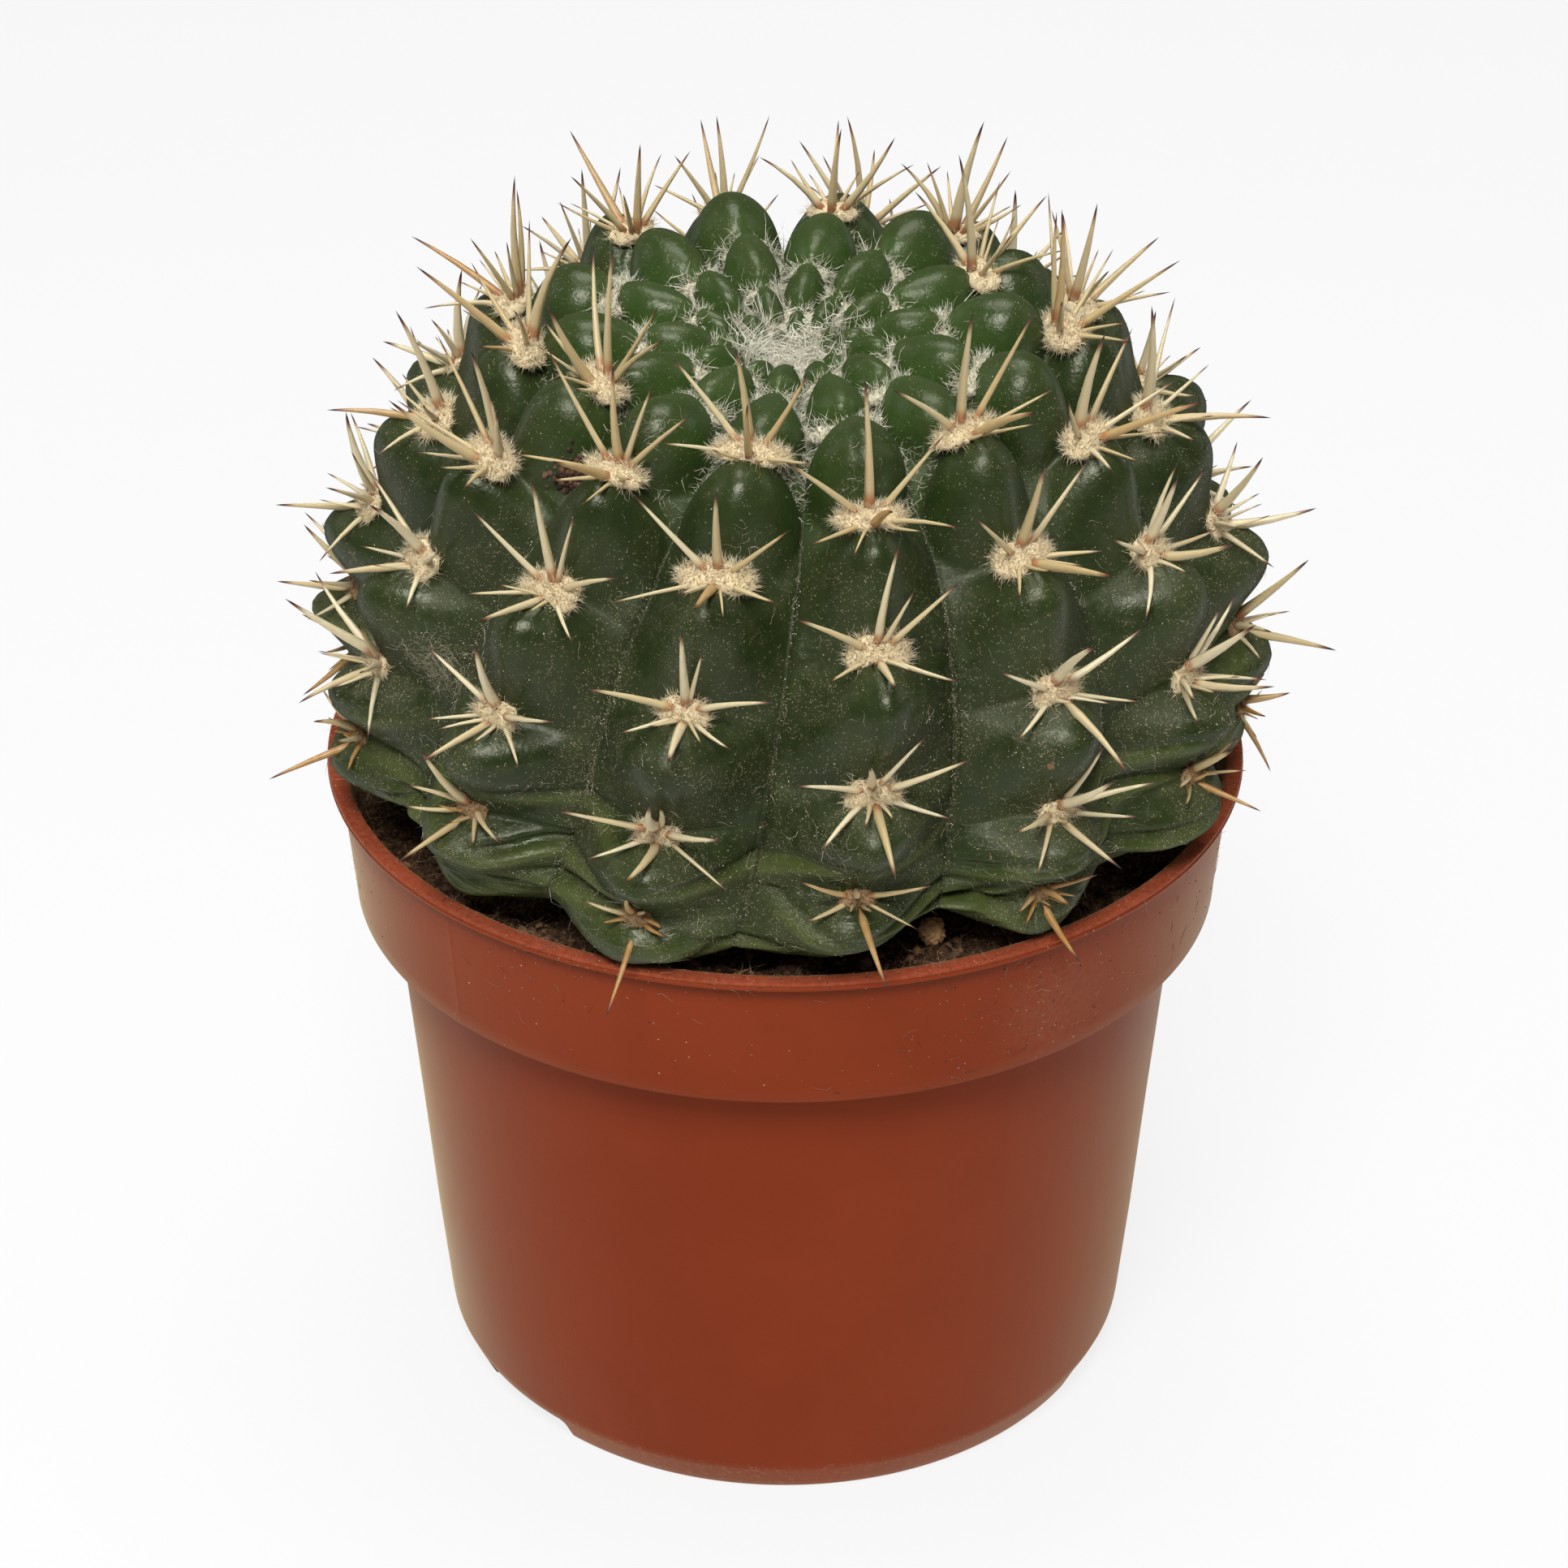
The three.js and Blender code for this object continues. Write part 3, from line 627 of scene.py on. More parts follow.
# Painted shade: the lowest band of skin, just over the soil under the overhanging belly, is darkened.
base = mixed(green, between(green, age, 0.90, 0.98, 0, 0.8), base, (0.016, 0.024, 0.007))
base = mixed(green, times(green, near_areole, 0.3), base, (0.060, 0.070, 0.028))
# Painted shade: the skin is darkened along the bottom of each furrow, where its sides shade it.
base = mixed(green, between(green, furrow, 0.86, 1.0, 0, 0.6), base, (0.014, 0.017, 0.007))
drift = between(green, noise_at(green, 110, detail=6, roughness=0.75), 0.40, 0.62, 0.06, 1.2)
settled = times(green, between(green, age, 0.25, 0.70, 0.25, 0.9), drift)
base = mixed(green, times(green, settled, 0.09), base, (0.15, 0.135, 0.07))
drifted = between(green, noise_at(green, 420, detail=3), 0.42, 0.60, 0, 1.1)
beside_furrow = times(green, between(green, furrow, 0.80, 0.97), drifted)
beside_furrow = times(green, beside_furrow, between(green, age, 0.2, 0.5))
dusty = maths(green, "ADD", settled, beside_furrow)
for scale, reach in ((4600, 0.40), (2900, 0.30), (1700, 0.20), (1000, 0.12)):
    cells = node(green, "ShaderNodeTexVoronoi", {"Vector": place_of(green), "Scale": scale})
    kept = node(green, "ShaderNodeSeparateColor", {0: cells.outputs["Color"]}).outputs[0]
    speck = between(green, cells.outputs["Distance"], reach, 0.4 * reach)
    lies = maths(green, "LESS_THAN", kept, times(green, dusty, 0.54))
    faint = between(green, noise_at(green, 2000, detail=1), 0.35, 0.6, 0.25, 0.95)
    share = times(green, times(green, speck, lies), faint)
    base = mixed(green, share, base, (0.30, 0.26, 0.15))
for place, reach, shade in SCARS:
    away = distance_from(green, tuple(np.array(place) * METRE))
    ragged = maths(green, "ADD", away, times(green, mottle, 0.003))
    spot = between(green, ragged, (reach + 1.8) * METRE, (reach + 1.4) * METRE)
    base = mixed(green, spot, base, shade)
link(green, base, shader.inputs["Base Color"])
dull = maths(green, "ADD", maths(green, "ADD", mottle, dusty), between(green, furrow, 0.7, 1.0, 0, 1.2))
dull = maths(green, "ADD", dull, between(green, dome, 0.4, 0.0, 0, 0.5))
dull = maths(green, "ADD", dull, times(green, crown, 0.15))
edge = node(green, "ShaderNodeLayerWeight", {"Blend": 0.5}).outputs["Facing"]
edge = between(green, edge, 0.40, 0.9, 0, 0.5)
waxy = maths(green, "ADD", between(green, dull, 0.4, 1.8, 0.24, 0.58), edge)
link(green, waxy, shader.inputs["Roughness"])
set_inputs(shader, {"Specular IOR Level": 0.30, "Specular Tint": (1.0, 1.0, 0.82, 1)})
pores = noise_at(green, 1900, detail=3)
height = maths(green, "ADD", times(green, mottle, 1.6), pores)
level_place = stretched_place(green, (1, 1, 6))
wrinkle = noise_at(green, 75, detail=3, roughness=0.45, distortion=0.6, place=level_place)
wrinkle = times(green, wrinkle, between(green, age, 0.64, 0.86, 0, 22))
bumped(green, shader, maths(green, "ADD", height, wrinkle), 0.4, 0.00014)
skin.data.materials.append(green)
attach(skin, "root")
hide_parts("cactus")


# Soil
# Dark damp peat that fills the pot to 8 mm below the rim and is banked 4 mm higher at the front: a
# lumpy closed plug that reaches in under the plant.
SOIL_LEVEL = POT_HEIGHT - 8
SOIL_BANK = 4.4
LUMP_HEIGHT = 1.7


def soil_height(x, y):
    """The soil's height in broad waves, banked up at the front."""
    broad = np.sin(0.42 * x + 1.1) * np.cos(0.37 * y - 0.6)
    banked = SOIL_BANK * ease(-20, -50, y)
    return SOIL_LEVEL + banked + 0.8 * (broad + 0.6 * np.sin(0.7 * x - 0.55 * y))


def soil_piece():
    """The plug as rows of points that run up the inside of the pot and in over the lumpy top."""
    angles = np.linspace(0, 2 * math.pi, 300, endpoint=False)
    outline = [(0.02, 1.8), (30, 1.8), (43.0, 1.8), (45.0, 4.4), (50.6, 71.5), (50.9, 72.2), (55.4, 73)]
    rows = []
    for radius, height in outline:
        rows.append(circle_at(radius, height, angles))
    for radius in np.concatenate([np.linspace(56.6, 36, 38), [25, 12, 0.02]]):
        x, y = radius * np.cos(angles), radius * np.sin(angles)
        lumps = np.array(
            [
                LUMP_HEIGHT * noise.turbulence(Vector((a * 0.22, b * 0.22, 1.3)), 4, False)
                + 0.5 * noise.noise(Vector((a * 1.1, b * 1.1, 7.0)))
                for a, b in zip(x, y)
            ]
        )
        rows.append(np.stack([x, y, soil_height(x, y) - 0.6 + lumps], 1))
    return piece_from("soil_plug", np.concatenate(rows), closed_faces(len(rows), len(angles)))


soil = soil_piece()
peat, shader = new_material("peat")
clump = noise_at(peat, 900, detail=8, roughness=0.8)
strand = noise_at(peat, 900, detail=4, roughness=0.7, place=stretched_place(peat, (1, 0.25, 1)))
base = mixed(peat, between(peat, clump, 0.40, 0.62), (0.034, 0.016, 0.008), (0.18, 0.096, 0.046))
base = mixed(peat, between(peat, strand, 0.56, 0.72, 0, 0.8), base, (0.42, 0.28, 0.17))
link(peat, base, shader.inputs["Base Color"])
link(peat, between(peat, clump, 0.3, 0.7, 0.95, 0.75), shader.inputs["Roughness"])
shader.inputs["Specular IOR Level"].default_value = 0.25
bumped(peat, shader, maths(peat, "ADD", clump, strand), 0.9, 0.0006)
soil.data.materials.append(peat)
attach(soil, "root")
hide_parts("soil")


# Crumbs, fibres, grains and a clod on the soil
# Loose peat crumbs, brown plant fibres, a few pale grains and one dried clod lie on the plug. One
# Geometry Nodes tree strews all but the clod, and the later pieces use it as well.
def new_tree(name, *sockets):
    """An empty Geometry Nodes tree with named inputs, its input sockets and its result socket."""
    tree = bpy.data.node_groups.new(name, "GeometryNodeTree")
    tree.interface.new_socket("Geometry", in_out="INPUT", socket_type="NodeSocketGeometry")
    for label, kind in sockets:
        tree.interface.new_socket(label, in_out="INPUT", socket_type=f"NodeSocket{kind}")
    tree.interface.new_socket("Geometry", in_out="OUTPUT", socket_type="NodeSocketGeometry")
    given = tree.nodes.new("NodeGroupInput").outputs
    result = tree.nodes.new("NodeGroupOutput").inputs["Geometry"]
    return tree, given, result


def named(tree, name, kind="FLOAT"):
    """An attribute of the ground, read in a node tree."""
    made = node(tree, "GeometryNodeInputNamedAttribute", {"Name": name}, data_type=kind)
    return made.outputs["Attribute"]


def shapes_of(tree, collection):
    """The shapes of a collection, each to be placed by itself."""
    links = {"Collection": collection, "Separate Children": True, "Reset Children": True}
    return node(tree, "GeometryNodeCollectionInfo", links).outputs["Instances"]


def strewn(tree, ground, given):
    """Shapes strewn over a ground, turned about its normal at random or in locks, and tilted from it."""
    density = times(tree, given["Density"], named(tree, "cover"))
    links = {"Mesh": ground, "Density": density, "Seed": given["Seed"]}
    spread = node(tree, "GeometryNodeDistributePointsOnFaces", links)
    place = node(tree, "GeometryNodeInputPosition").outputs[0]
    waves = {"Vector": place, "Scale": given["Locks"], "Detail": 0}
    lock = node(tree, "ShaderNodeTexNoise", waves).outputs["Fac"]
    combed = times(tree, times(tree, lock, 4 * math.pi), given["Combing"])
    loose = maths(tree, "SUBTRACT", 2 * math.pi, times(tree, given["Combing"], 5.2))
    low = node(tree, "ShaderNodeCombineXYZ", {0: given["Least Tilt"]})
    high = node(tree, "ShaderNodeCombineXYZ", {0: given["Most Tilt"], 2: loose})
    links = {0: low.outputs[0], 1: high.outputs[0], "Seed": given["Seed"]}
    turn = node(tree, "FunctionNodeRandomValue", links, data_type="FLOAT_VECTOR")
    aside = node(tree, "ShaderNodeCombineXYZ", {2: combed}).outputs[0]
    turn = node(tree, "ShaderNodeVectorMath", {0: turn.outputs[0], 1: aside}, operation="ADD")
    links = {0: spread.outputs["Rotation"], 1: turn.outputs[0]}
    turned = node(tree, "FunctionNodeRotateRotation", links, rotation_space="LOCAL")
    links = {2: given["Smallest"], 3: given["Largest"], "Seed": given["Seed"]}
    size = node(tree, "FunctionNodeRandomValue", links, data_type="FLOAT")
    placed = node(
        tree,
        "GeometryNodeInstanceOnPoints",
        {
            "Points": spread.outputs["Points"],
            "Instance": shapes_of(tree, given["Shapes"]),
            "Pick Instance": True,
            "Rotation": turned.outputs[0],
            "Scale": size.outputs[1],
        },
    )
    tone = node(tree, "FunctionNodeRandomValue", {"Seed": 5}, data_type="FLOAT")
    return node(
        tree,
        "GeometryNodeStoreNamedAttribute",
        {"Geometry": placed.outputs[0], "Name": "tone", "Value": tone.outputs[1]},
        data_type="FLOAT",
        domain="INSTANCE",
    ).outputs[0]


def finished(tree, result, instances, material):
    """Ends a tree: what it placed becomes one mesh with one material."""
    real = node(tree, "GeometryNodeRealizeInstances", {"Geometry": instances})
    made = node(tree, "GeometryNodeSetMaterial", {"Geometry": real.outputs[0], "Material": material})
    tree.links.new(made.outputs[0], result)


STREWN_SOCKETS = (
    ("Shapes", "Collection"),
    ("Density", "Float"),
    ("Seed", "Int"),
    ("Least Tilt", "Float"),
    ("Most Tilt", "Float"),
    ("Smallest", "Float"),
    ("Largest", "Float"),
    ("Combing", "Float"),
    ("Locks", "Float"),
    ("Material", "Material"),
)
strew_tree, given, result = new_tree("strew", *STREWN_SOCKETS)
finished(strew_tree, result, strewn(strew_tree, given["Geometry"], given), given["Material"])


def shape_collection(name, shapes):
    """Small shapes moved into a collection of their own, for a tree to pick from."""
    collection = bpy.data.collections.new(name)
    bpy.context.scene.collection.children.link(collection)
    for shape in shapes:
        bpy.context.scene.collection.objects.unlink(shape)
        collection.objects.link(shape)
    return collection


def grown(name, ground, tree, values):
    """A piece grown over a copy of the ground by a tree, once its inputs are set."""
    piece = bpy.data.objects.new(name, ground.data.copy())
    piece.data.materials.clear()
    bpy.context.scene.collection.objects.link(piece)
    modifier = piece.modifiers.new(name, "NODES")
    modifier.node_group = tree
    for item in tree.interface.items_tree:
        if item.in_out == "INPUT" and item.name in values:
            modifier[item.identifier] = values[item.name]
    without_scratch(piece)
    piece.data.materials.clear()
    piece.data.materials.append(values["Material"])
    piece.data.polygons.foreach_set("material_index", [0] * len(piece.data.polygons))
    return piece


def strewn_piece(name, ground, tree, shapes, material, density, tilt, sizes, **others):
    """A piece strewn over the ground, its shapes tilted and sized between a least and a most."""
    values = {
        "Shapes": shapes,
        "Material": material,
        "Density": density,
        "Seed": len(name),
        "Least Tilt": tilt[0],
        "Most Tilt": tilt[1],
        "Smallest": sizes[0],
        "Largest": sizes[1],
        **others,
    }
    return grown(name, ground, tree, values)


def pointed_shape(name, rings, bend, sides=3):
    """A closed strand one unit long with a point, from each ring's height, radius and shift aside."""
    points, along = [], []
    for share, radius, aside in rings:
        for side in range(sides):
            turn = 2 * math.pi * side / sides
            points.append((aside + radius * math.cos(turn), radius * math.sin(turn), share))
            along.append(share)
    points.append((bend, 0, 1))
    along.append(1)
    faces = ring_faces(len(rings), sides)
    faces.append(tuple(range(sides))[::-1])
    top = (len(rings) - 1) * sides
    for side in range(sides):
        faces.append((top + side, top + (side + 1) % sides, len(points) - 1))
    return piece_from(name, points, faces, along=along)


def strand_shape(name, bend, steps=4, radius=0.05, wave=0.0):
    """A thin tapering strand one millimetre long that stands on its root and bends to one side."""
    rings = []
    for step in range(steps):
        share = step / steps
        aside = bend * share**2 + wave * math.sin(2 * math.pi * share)
        rings.append((share, radius * (1 - 0.75 * share), aside))
    return pointed_shape(name, rings, bend)


def ball_directions(rings, sides, first):
    """Directions from the middle of a ball, ring by ring from near the bottom to the top."""
    found = []
    for ring in range(rings):
        lift = math.pi * (ring + first) / rings
        for side in range(sides):
            turn = 2 * math.pi * side / sides
            level = (math.sin(lift) * math.cos(turn), math.sin(lift) * math.sin(turn))
            found.append(Vector((*level, -math.cos(lift))))
    return found


def crumb_shape(name, seed):
    """A rough grain about one millimetre across."""
    rings, sides = 4, 6
    points = []
    for place in ball_directions(rings, sides, 0.5):
        reach = 0.5 * (1 + 0.45 * noise.noise(place * 1.3 + Vector((seed, 3.1 * seed, 0))))
        points.append(tuple(place * reach))
    return piece_from(name, points, closed_faces(rings, sides), smooth=False)


def covered(piece, cover):
    """Writes how densely each point of a piece is strewn, by its place in millimetres."""
    places = np.empty(len(piece.data.vertices) * 3)
    piece.data.vertices.foreach_get("co", places)
    places = places.reshape(-1, 3) / METRE
    if "cover" not in piece.data.attributes:
        piece.data.attributes.new("cover", "FLOAT", "POINT")
    piece.data.attributes["cover"].data.foreach_set("value", cover(places).astype(np.float32))


def grit_shape(name, lift):
    """A speck about one millimetre across, with eight faces."""
    points = [(0.5, 0, 0), (0, 0.4, 0), (-0.45, 0.05, 0), (0, -0.5, 0)]
    points += [(0.05, 0, -lift), (0, 0.05, lift)]
    faces = [(0, 1, 5), (1, 2, 5), (2, 3, 5), (3, 0, 5)]
    faces += [(1, 0, 4), (2, 1, 4), (3, 2, 4), (0, 3, 4)]
    return piece_from(name, points, faces, smooth=False)


grits = shape_collection(
    "grit_shapes", [grit_shape(f"grit_{lift}", lift / 10) for lift in (2, 3, 5)]
)
crumbs = shape_collection(
    "crumb_shapes", [crumb_shape(f"crumb_{seed}", seed) for seed in range(5)]
)
curls = []
for bend in (-6, -3, 2, 5, 8):
    curls.append(strand_shape(f"fibre_{bend}", bend / 10, wave=0.11, radius=0.012))
fibres = shape_collection("fibre_shapes", curls)
straws = shape_collection(
    "straw_shapes", [strand_shape(f"straw_{bend}", bend / 10, steps=3) for bend in (-4, 1, 6)]
)


def soil_cover(places):
    """The open ring of soil between the plant and the pot."""
    reach = np.hypot(places[:, 0], places[:, 1])
    return ((places[:, 2] > 78) & (reach > 38) & (reach < 55.5)).astype(float)


def tone_material(name, dark, light, roughness):
    """A material whose colour runs from dark to light by each copy's own tone."""
    material, shader = new_material(name)
    tone = attribute(material, "tone")
    fleck = noise_at(material, 1500, detail=3)
    share = times(material, maths(material, "ADD", tone, fleck), 0.5)
    base = mixed(material, between(material, share, 0.25, 0.75), dark, light)
    link(material, base, shader.inputs["Base Color"])
    set_inputs(shader, {"Roughness": roughness, "Specular IOR Level": 0.3})
    return material


covered(soil, soil_cover)
crumb_peat = tone_material("peat_crumbs", (0.030, 0.014, 0.007), (0.26, 0.138, 0.066), 0.9)
fibre_peat = tone_material("peat_fibres", (0.10, 0.045, 0.020), (0.58, 0.38, 0.20), 0.8)
pale_grain = tone_material("pale_grains", (0.22, 0.16, 0.10), (0.55, 0.45, 0.33), 0.8)
for name, shapes, density, tilt, sizes, material in (
    ("soil_crumbs", crumbs, 190000, (0, 3), (0.4, 1.4), crumb_peat),
    ("soil_dust", grits, 1700000, (0, 3), (0.25, 0.8), crumb_peat),
    ("soil_fibres", fibres, 330000, (1.0, 1.6), (1.6, 5.0), fibre_peat),
    ("soil_straws", straws, 30000, (1.1, 1.6), (1.2, 3.8), fibre_peat),
    ("soil_grains", crumbs, 9000, (0, 3), (0.5, 1.6), pale_grain),
):
    piece = strewn_piece(name, soil, strew_tree, shapes, material, density, tilt, sizes)
    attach(piece, "root")


CLOD_PLACE = (18.17, -44.3, 87.75)
CLOD_RADIUS = 1.7


def clod_piece():
    """A crumbly clod of dried peat that lies in front of the plant."""
    rings, sides = 16, 24
    points = []
    for place in ball_directions(rings, sides, 0.4):
        lump = 0.22 * noise.noise(place * 1.4) + 0.30 * noise.noise(place * 3.7)
        lump = lump + 0.22 * noise.noise(place * 6.5)
        points.append(tuple(np.array(CLOD_PLACE) + np.array(place) * CLOD_RADIUS * (1 + lump)))
    tone = [0.85] * len(points)
    return piece_from("soil_clod", points, closed_faces(rings, sides), smooth=False, tone=tone)


clod = clod_piece()
clod.data.materials.append(tone_material("clod", (0.44, 0.22, 0.09), (0.92, 0.55, 0.26), 0.95))
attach(clod, "root")


# Wool on the areoles
# Each areole carries an oval cushion of cream felt, about 8 by 5 mm, with fine short hairs standing
# out of it; old ones are smaller and browner. The wool grows fast to the skin, so it rides with it.
# Levels from the crown down: the first areoles with spines, the first with old wool, and the last.
SPINY_FROM = 0.85
OLD_FROM = 4.2
LAST_AREOLE = 5.45
CUSHION_REACH = 4.3
HAIR_TILT = (-1.15, 1.15)


def in_crown_row(level):
    """How fully an areole belongs to the crown's outer rows."""
    return float(ease(0.7, 1.1, level) * (1 - ease(1.8, 2.7, level)))


def areoles():
    """Every areole: its rib, level, middle and outward, crownward and sideways directions.

    Those of the crown's outer rows sit on the shoulder of the tubercle below them.
    """
    found = []
    for rib in range(RIBS):
        for step in range(-6, 12):
            level = FIRST_LEVEL + step - LEVEL_SHIFT * rib
            length = float(length_at(level))
            if length < 5 or level > LAST_AREOLE:
                continue
            crown_row = in_crown_row(level)
            seat = np.array([level + 0.07 * crown_row])
            rib_at, length_there = np.array([float(rib)]), length_at(seat)
            point, _ = skin_at(rib_at, seat, length_there, np.ones(1), np.ones(1))
            sides = directions_at(length_there, angle_at(rib_at, seat))
            point = point[0] + 0.2 * crown_row * sides[0][0]
            found.append((rib, level, point, *[side[0] for side in sides]))
    return found


AREOLES = areoles()


def turning_of(up, aside, spin=0.0):
    """Euler angles that turn Z to one direction and X towards another, then spin about Z."""
    z = Vector(up).normalized()
    x = (Vector(aside) - z * Vector(aside).dot(z)).normalized()
    y = z.cross(x)
    turned = np.array([x, y, z]).T
    c, d = math.cos(spin), math.sin(spin)
    spun = turned @ np.array([[c, -d, 0], [d, c, 0], [0, 0, 1]])
    pitch = math.asin(max(-1, min(1, -spun[2, 0])))
    return math.atan2(spun[2, 1], spun[2, 2]), pitch, math.atan2(spun[1, 0], spun[0, 0])


def placed_shapes(tree, given, shapes):
    """A shape on each point, picked, turned and sized by the point's attributes."""
    turning = node(tree, "FunctionNodeEulerToRotation", {0: named(tree, "turning", "FLOAT_VECTOR")})
    return node(
        tree,
        "GeometryNodeInstanceOnPoints",
        {
            "Points": given["Geometry"],
            "Instance": shapes_of(tree, shapes),
            "Pick Instance": True,
            "Instance Index": named(tree, "kind", "INT"),
            "Rotation": turning.outputs[0],
            "Scale": named(tree, "reach", "FLOAT_VECTOR"),
        },
    ).outputs[0]


wool_tree, given, result = new_tree("areole_wool", ("Cushions", "Collection"), *STREWN_SOCKETS)
cushions = placed_shapes(wool_tree, given, given["Cushions"])
cushions = node(wool_tree, "GeometryNodeRealizeInstances", {"Geometry": cushions}).outputs[0]
both = wool_tree.nodes.new("GeometryNodeJoinGeometry")
wool_tree.links.new(strewn(wool_tree, cushions, given), both.inputs[0])
wool_tree.links.new(cushions, both.inputs[0])
finished(wool_tree, result, both.outputs[0], given["Material"])


def cushion_shape(name, seed):
    """A felted cushion one millimetre in radius, flat below and lumpy on top, slightly two-lobed."""
    rings, sides = 14, 26
    points, cover = [], []
    for place in ball_directions(rings, sides, 0.35):
        lump = 0.16 * noise.noise(place * 1.7 + Vector((seed * 5.3, 0, 0)))
        lump += 0.12 * noise.noise(place * 4.3 + Vector((0, seed * 2.9, 0)))
        lump += 0.16 * max(0, noise.noise(place * 9.0 + Vector((0, 0, seed * 1.7))))
        waist = 1 - 0.14 * math.exp(-((place.x / 0.35) ** 2)) * abs(place.y)
        reach = waist * (1 + lump)
        points.append((place.x * reach, place.y * reach, place.z * reach))
        cover.append(1.0 if place.z > -0.25 else 0.0)
    tone = [0.5] * len(points)
    return piece_from(name, points, closed_faces(rings, sides), cover=cover, tone=tone)


cushion_shapes = shape_collection(
    "cushion_shapes", [cushion_shape(f"cushion_{seed}", seed) for seed in range(4)]
)
hairs = []
for bend in (-7, -3, 0, 4, 9):
    hairs.append(strand_shape(f"hair_{bend}", bend / 10, steps=1, radius=0.024 + 0.001 * abs(bend)))
hair_shapes = shape_collection("hair_shapes", hairs)


def wool_points(name, chosen):
    """One point for each chosen areole, with the size and turn of its cushion."""
    points, turning, reach, kind = [], [], [], []
    for rib, level, point, outward, crownward, sideways in chosen:
        young = 1 - ease(-0.6, 1.1, level)
        width = CUSHION_REACH - 2.3 * young
        width = width - 1.1 * ease(1.9, 3.0, level) - 1.3 * ease(3.4, 5.2, level)
        width = width * (0.92 + 0.16 * chance(rib, level, 3)) * (1 - 0.3 * ease(0, 20, point[1]))
        points.append(point + outward * (0.25 - 0.35 * young))
        facing = outward + (0.15 + 0.45 * in_crown_row(level)) * crownward
        turning.append(turning_of(facing, sideways, 0.3 * (chance(rib, level, 4) - 0.5)))
        reach.append((width, width * (0.58 + 0.24 * ease(1.9, 2.8, level)), 0.45 + 0.2 * width))
        kind.append(int(4 * chance(rib, level, 5)))
    return piece_from(name, points, [], turning=turning, reach=reach, kind=kind)


def wool_material(name, shade, light):
    """Matt felt of fine hairs in small clumps, with painted shade in patches between the clumps and at
    the hairs' roots.
    """
    material, shader = new_material(name)
    fluff = noise_at(material, 2300, detail=6, roughness=0.75)
    felt = tuple(0.36 * dark + 0.64 * pale for dark, pale in zip(shade, light))
    # Painted shade: the darker colour in noise patches stands for shadow in the hollows between clumps,
    # and the hairs turn pale only towards their tips, as if their roots lay in shade.
    base = mixed(material, between(material, fluff, 0.44, 0.66), felt, shade)
    base = mixed(material, between(material, attribute(material, "along"), 0.05, 0.6), base, light)
    link(material, base, shader.inputs["Base Color"])
    set_inputs(shader, {"Roughness": 0.95, "Specular IOR Level": 0.2})
    set_inputs(shader, {"Sheen Weight": 0.25, "Sheen Tint": (*light, 1)})
    bumped(material, shader, fluff, 0.6, -0.0003)
    return material


wool = wool_material("areole_wool", (0.66, 0.49, 0.27), (0.97, 0.85, 0.58))
old_wool = wool_material("old_wool", (0.16, 0.08, 0.035), (0.55, 0.38, 0.20))
crown_wool = wool_material("crown_wool", (0.46, 0.41, 0.27), (0.84, 0.81, 0.64))
spiny = [areole for areole in AREOLES if areole[1] >= SPINY_FROM]
cream = [areole for areole in spiny if areole[1] < OLD_FROM]
wool_extras = {"Cushions": cushion_shapes, "Combing": 0.75, "Locks": 700}
for name, chosen, material, density, sizes in (
    ("wool_front", [a for a in cream if a[2][1] < 0], wool, 20000000, (0.4, 1.7)),
    ("wool_back", [a for a in cream if a[2][1] >= 0], wool, 11000000, (0.4, 1.6)),
    ("wool_old", [a for a in spiny if a[1] >= OLD_FROM], old_wool, 11000000, (0.4, 1.3)),
    ("wool_crown", [a for a in AREOLES if a[1] < SPINY_FROM], crown_wool, 11000000, (0.6, 2.2)),
):
    ground = wool_points(f"{name}_points", chosen)
    piece = strewn_piece(
        name, ground, wool_tree, hair_shapes, material, density, HAIR_TILT, sizes, **wool_extras
    )
    bpy.data.objects.remove(ground)
    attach(piece, "root")


# Spines
# Stiff cream to amber needles with red-brown roots and black tips stand out of each areole: thick ones
# towards the crown and the base, thinner ones spread to the sides. They grow out of the plant.
SPINE_KINDS = (
    # turn from sideways towards the crown, tilt from outward, length, root radius and share missing
    (94, 36, 14.0, 0.74, 0),
    (26, 56, 12.5, 0.54, 0),
    (154, 56, 12.5, 0.54, 0),
    (-28, 66, 10.0, 0.44, 0),
    (208, 66, 10.0, 0.44, 0),
    (-88, 40, 13.0, 0.70, 0),
    (-62, 66, 7.0, 0.33, 0.12),
    (-118, 66, 7.0, 0.33, 0.12),
    (64, 52, 11.0, 0.46, 0.55),
)
STOUT_LOWER = SPINE_KINDS[5]
SPINE_SEED = 14
FLATNESS = 0.82
LIP_WIDTH = 2.1
LIP_GAP = 1.0


def skin_tree():
    """A search tree over the skin's points, in millimetres."""
    found = kdtree.KDTree(len(skin.data.vertices))
    for index, vertex in enumerate(skin.data.vertices):
        found.insert(vertex.co / METRE, index)
    found.balance()
    return found


SKIN_PLACES = skin_tree()


def over_skin(place):
    """How far a place in millimetres lies over the skin."""
    near, index, _ = SKIN_PLACES.find(Vector(place))
    return (Vector(place) - near).dot(skin.data.vertices[index].normal)


def is_clear(root, aim, length):
    """Whether a spine passes over the skin, the soil and the pot's rim."""
    for share in (0.3, 0.45, 0.6, 0.75, 0.9, 1.0):
        place = root + aim * length * share
        reach = math.hypot(place[0], place[1])
        ground = soil_height(place[0], place[1]) + 1
        if reach > RIM_RADIUS - LIP_WIDTH - 2 * LIP_GAP:
            ground = POT_HEIGHT
        if reach < RIM_RADIUS + LIP_GAP and place[2] < ground + LIP_GAP:
            return False
        if over_skin(place) < 0.35:
            return False
    return True


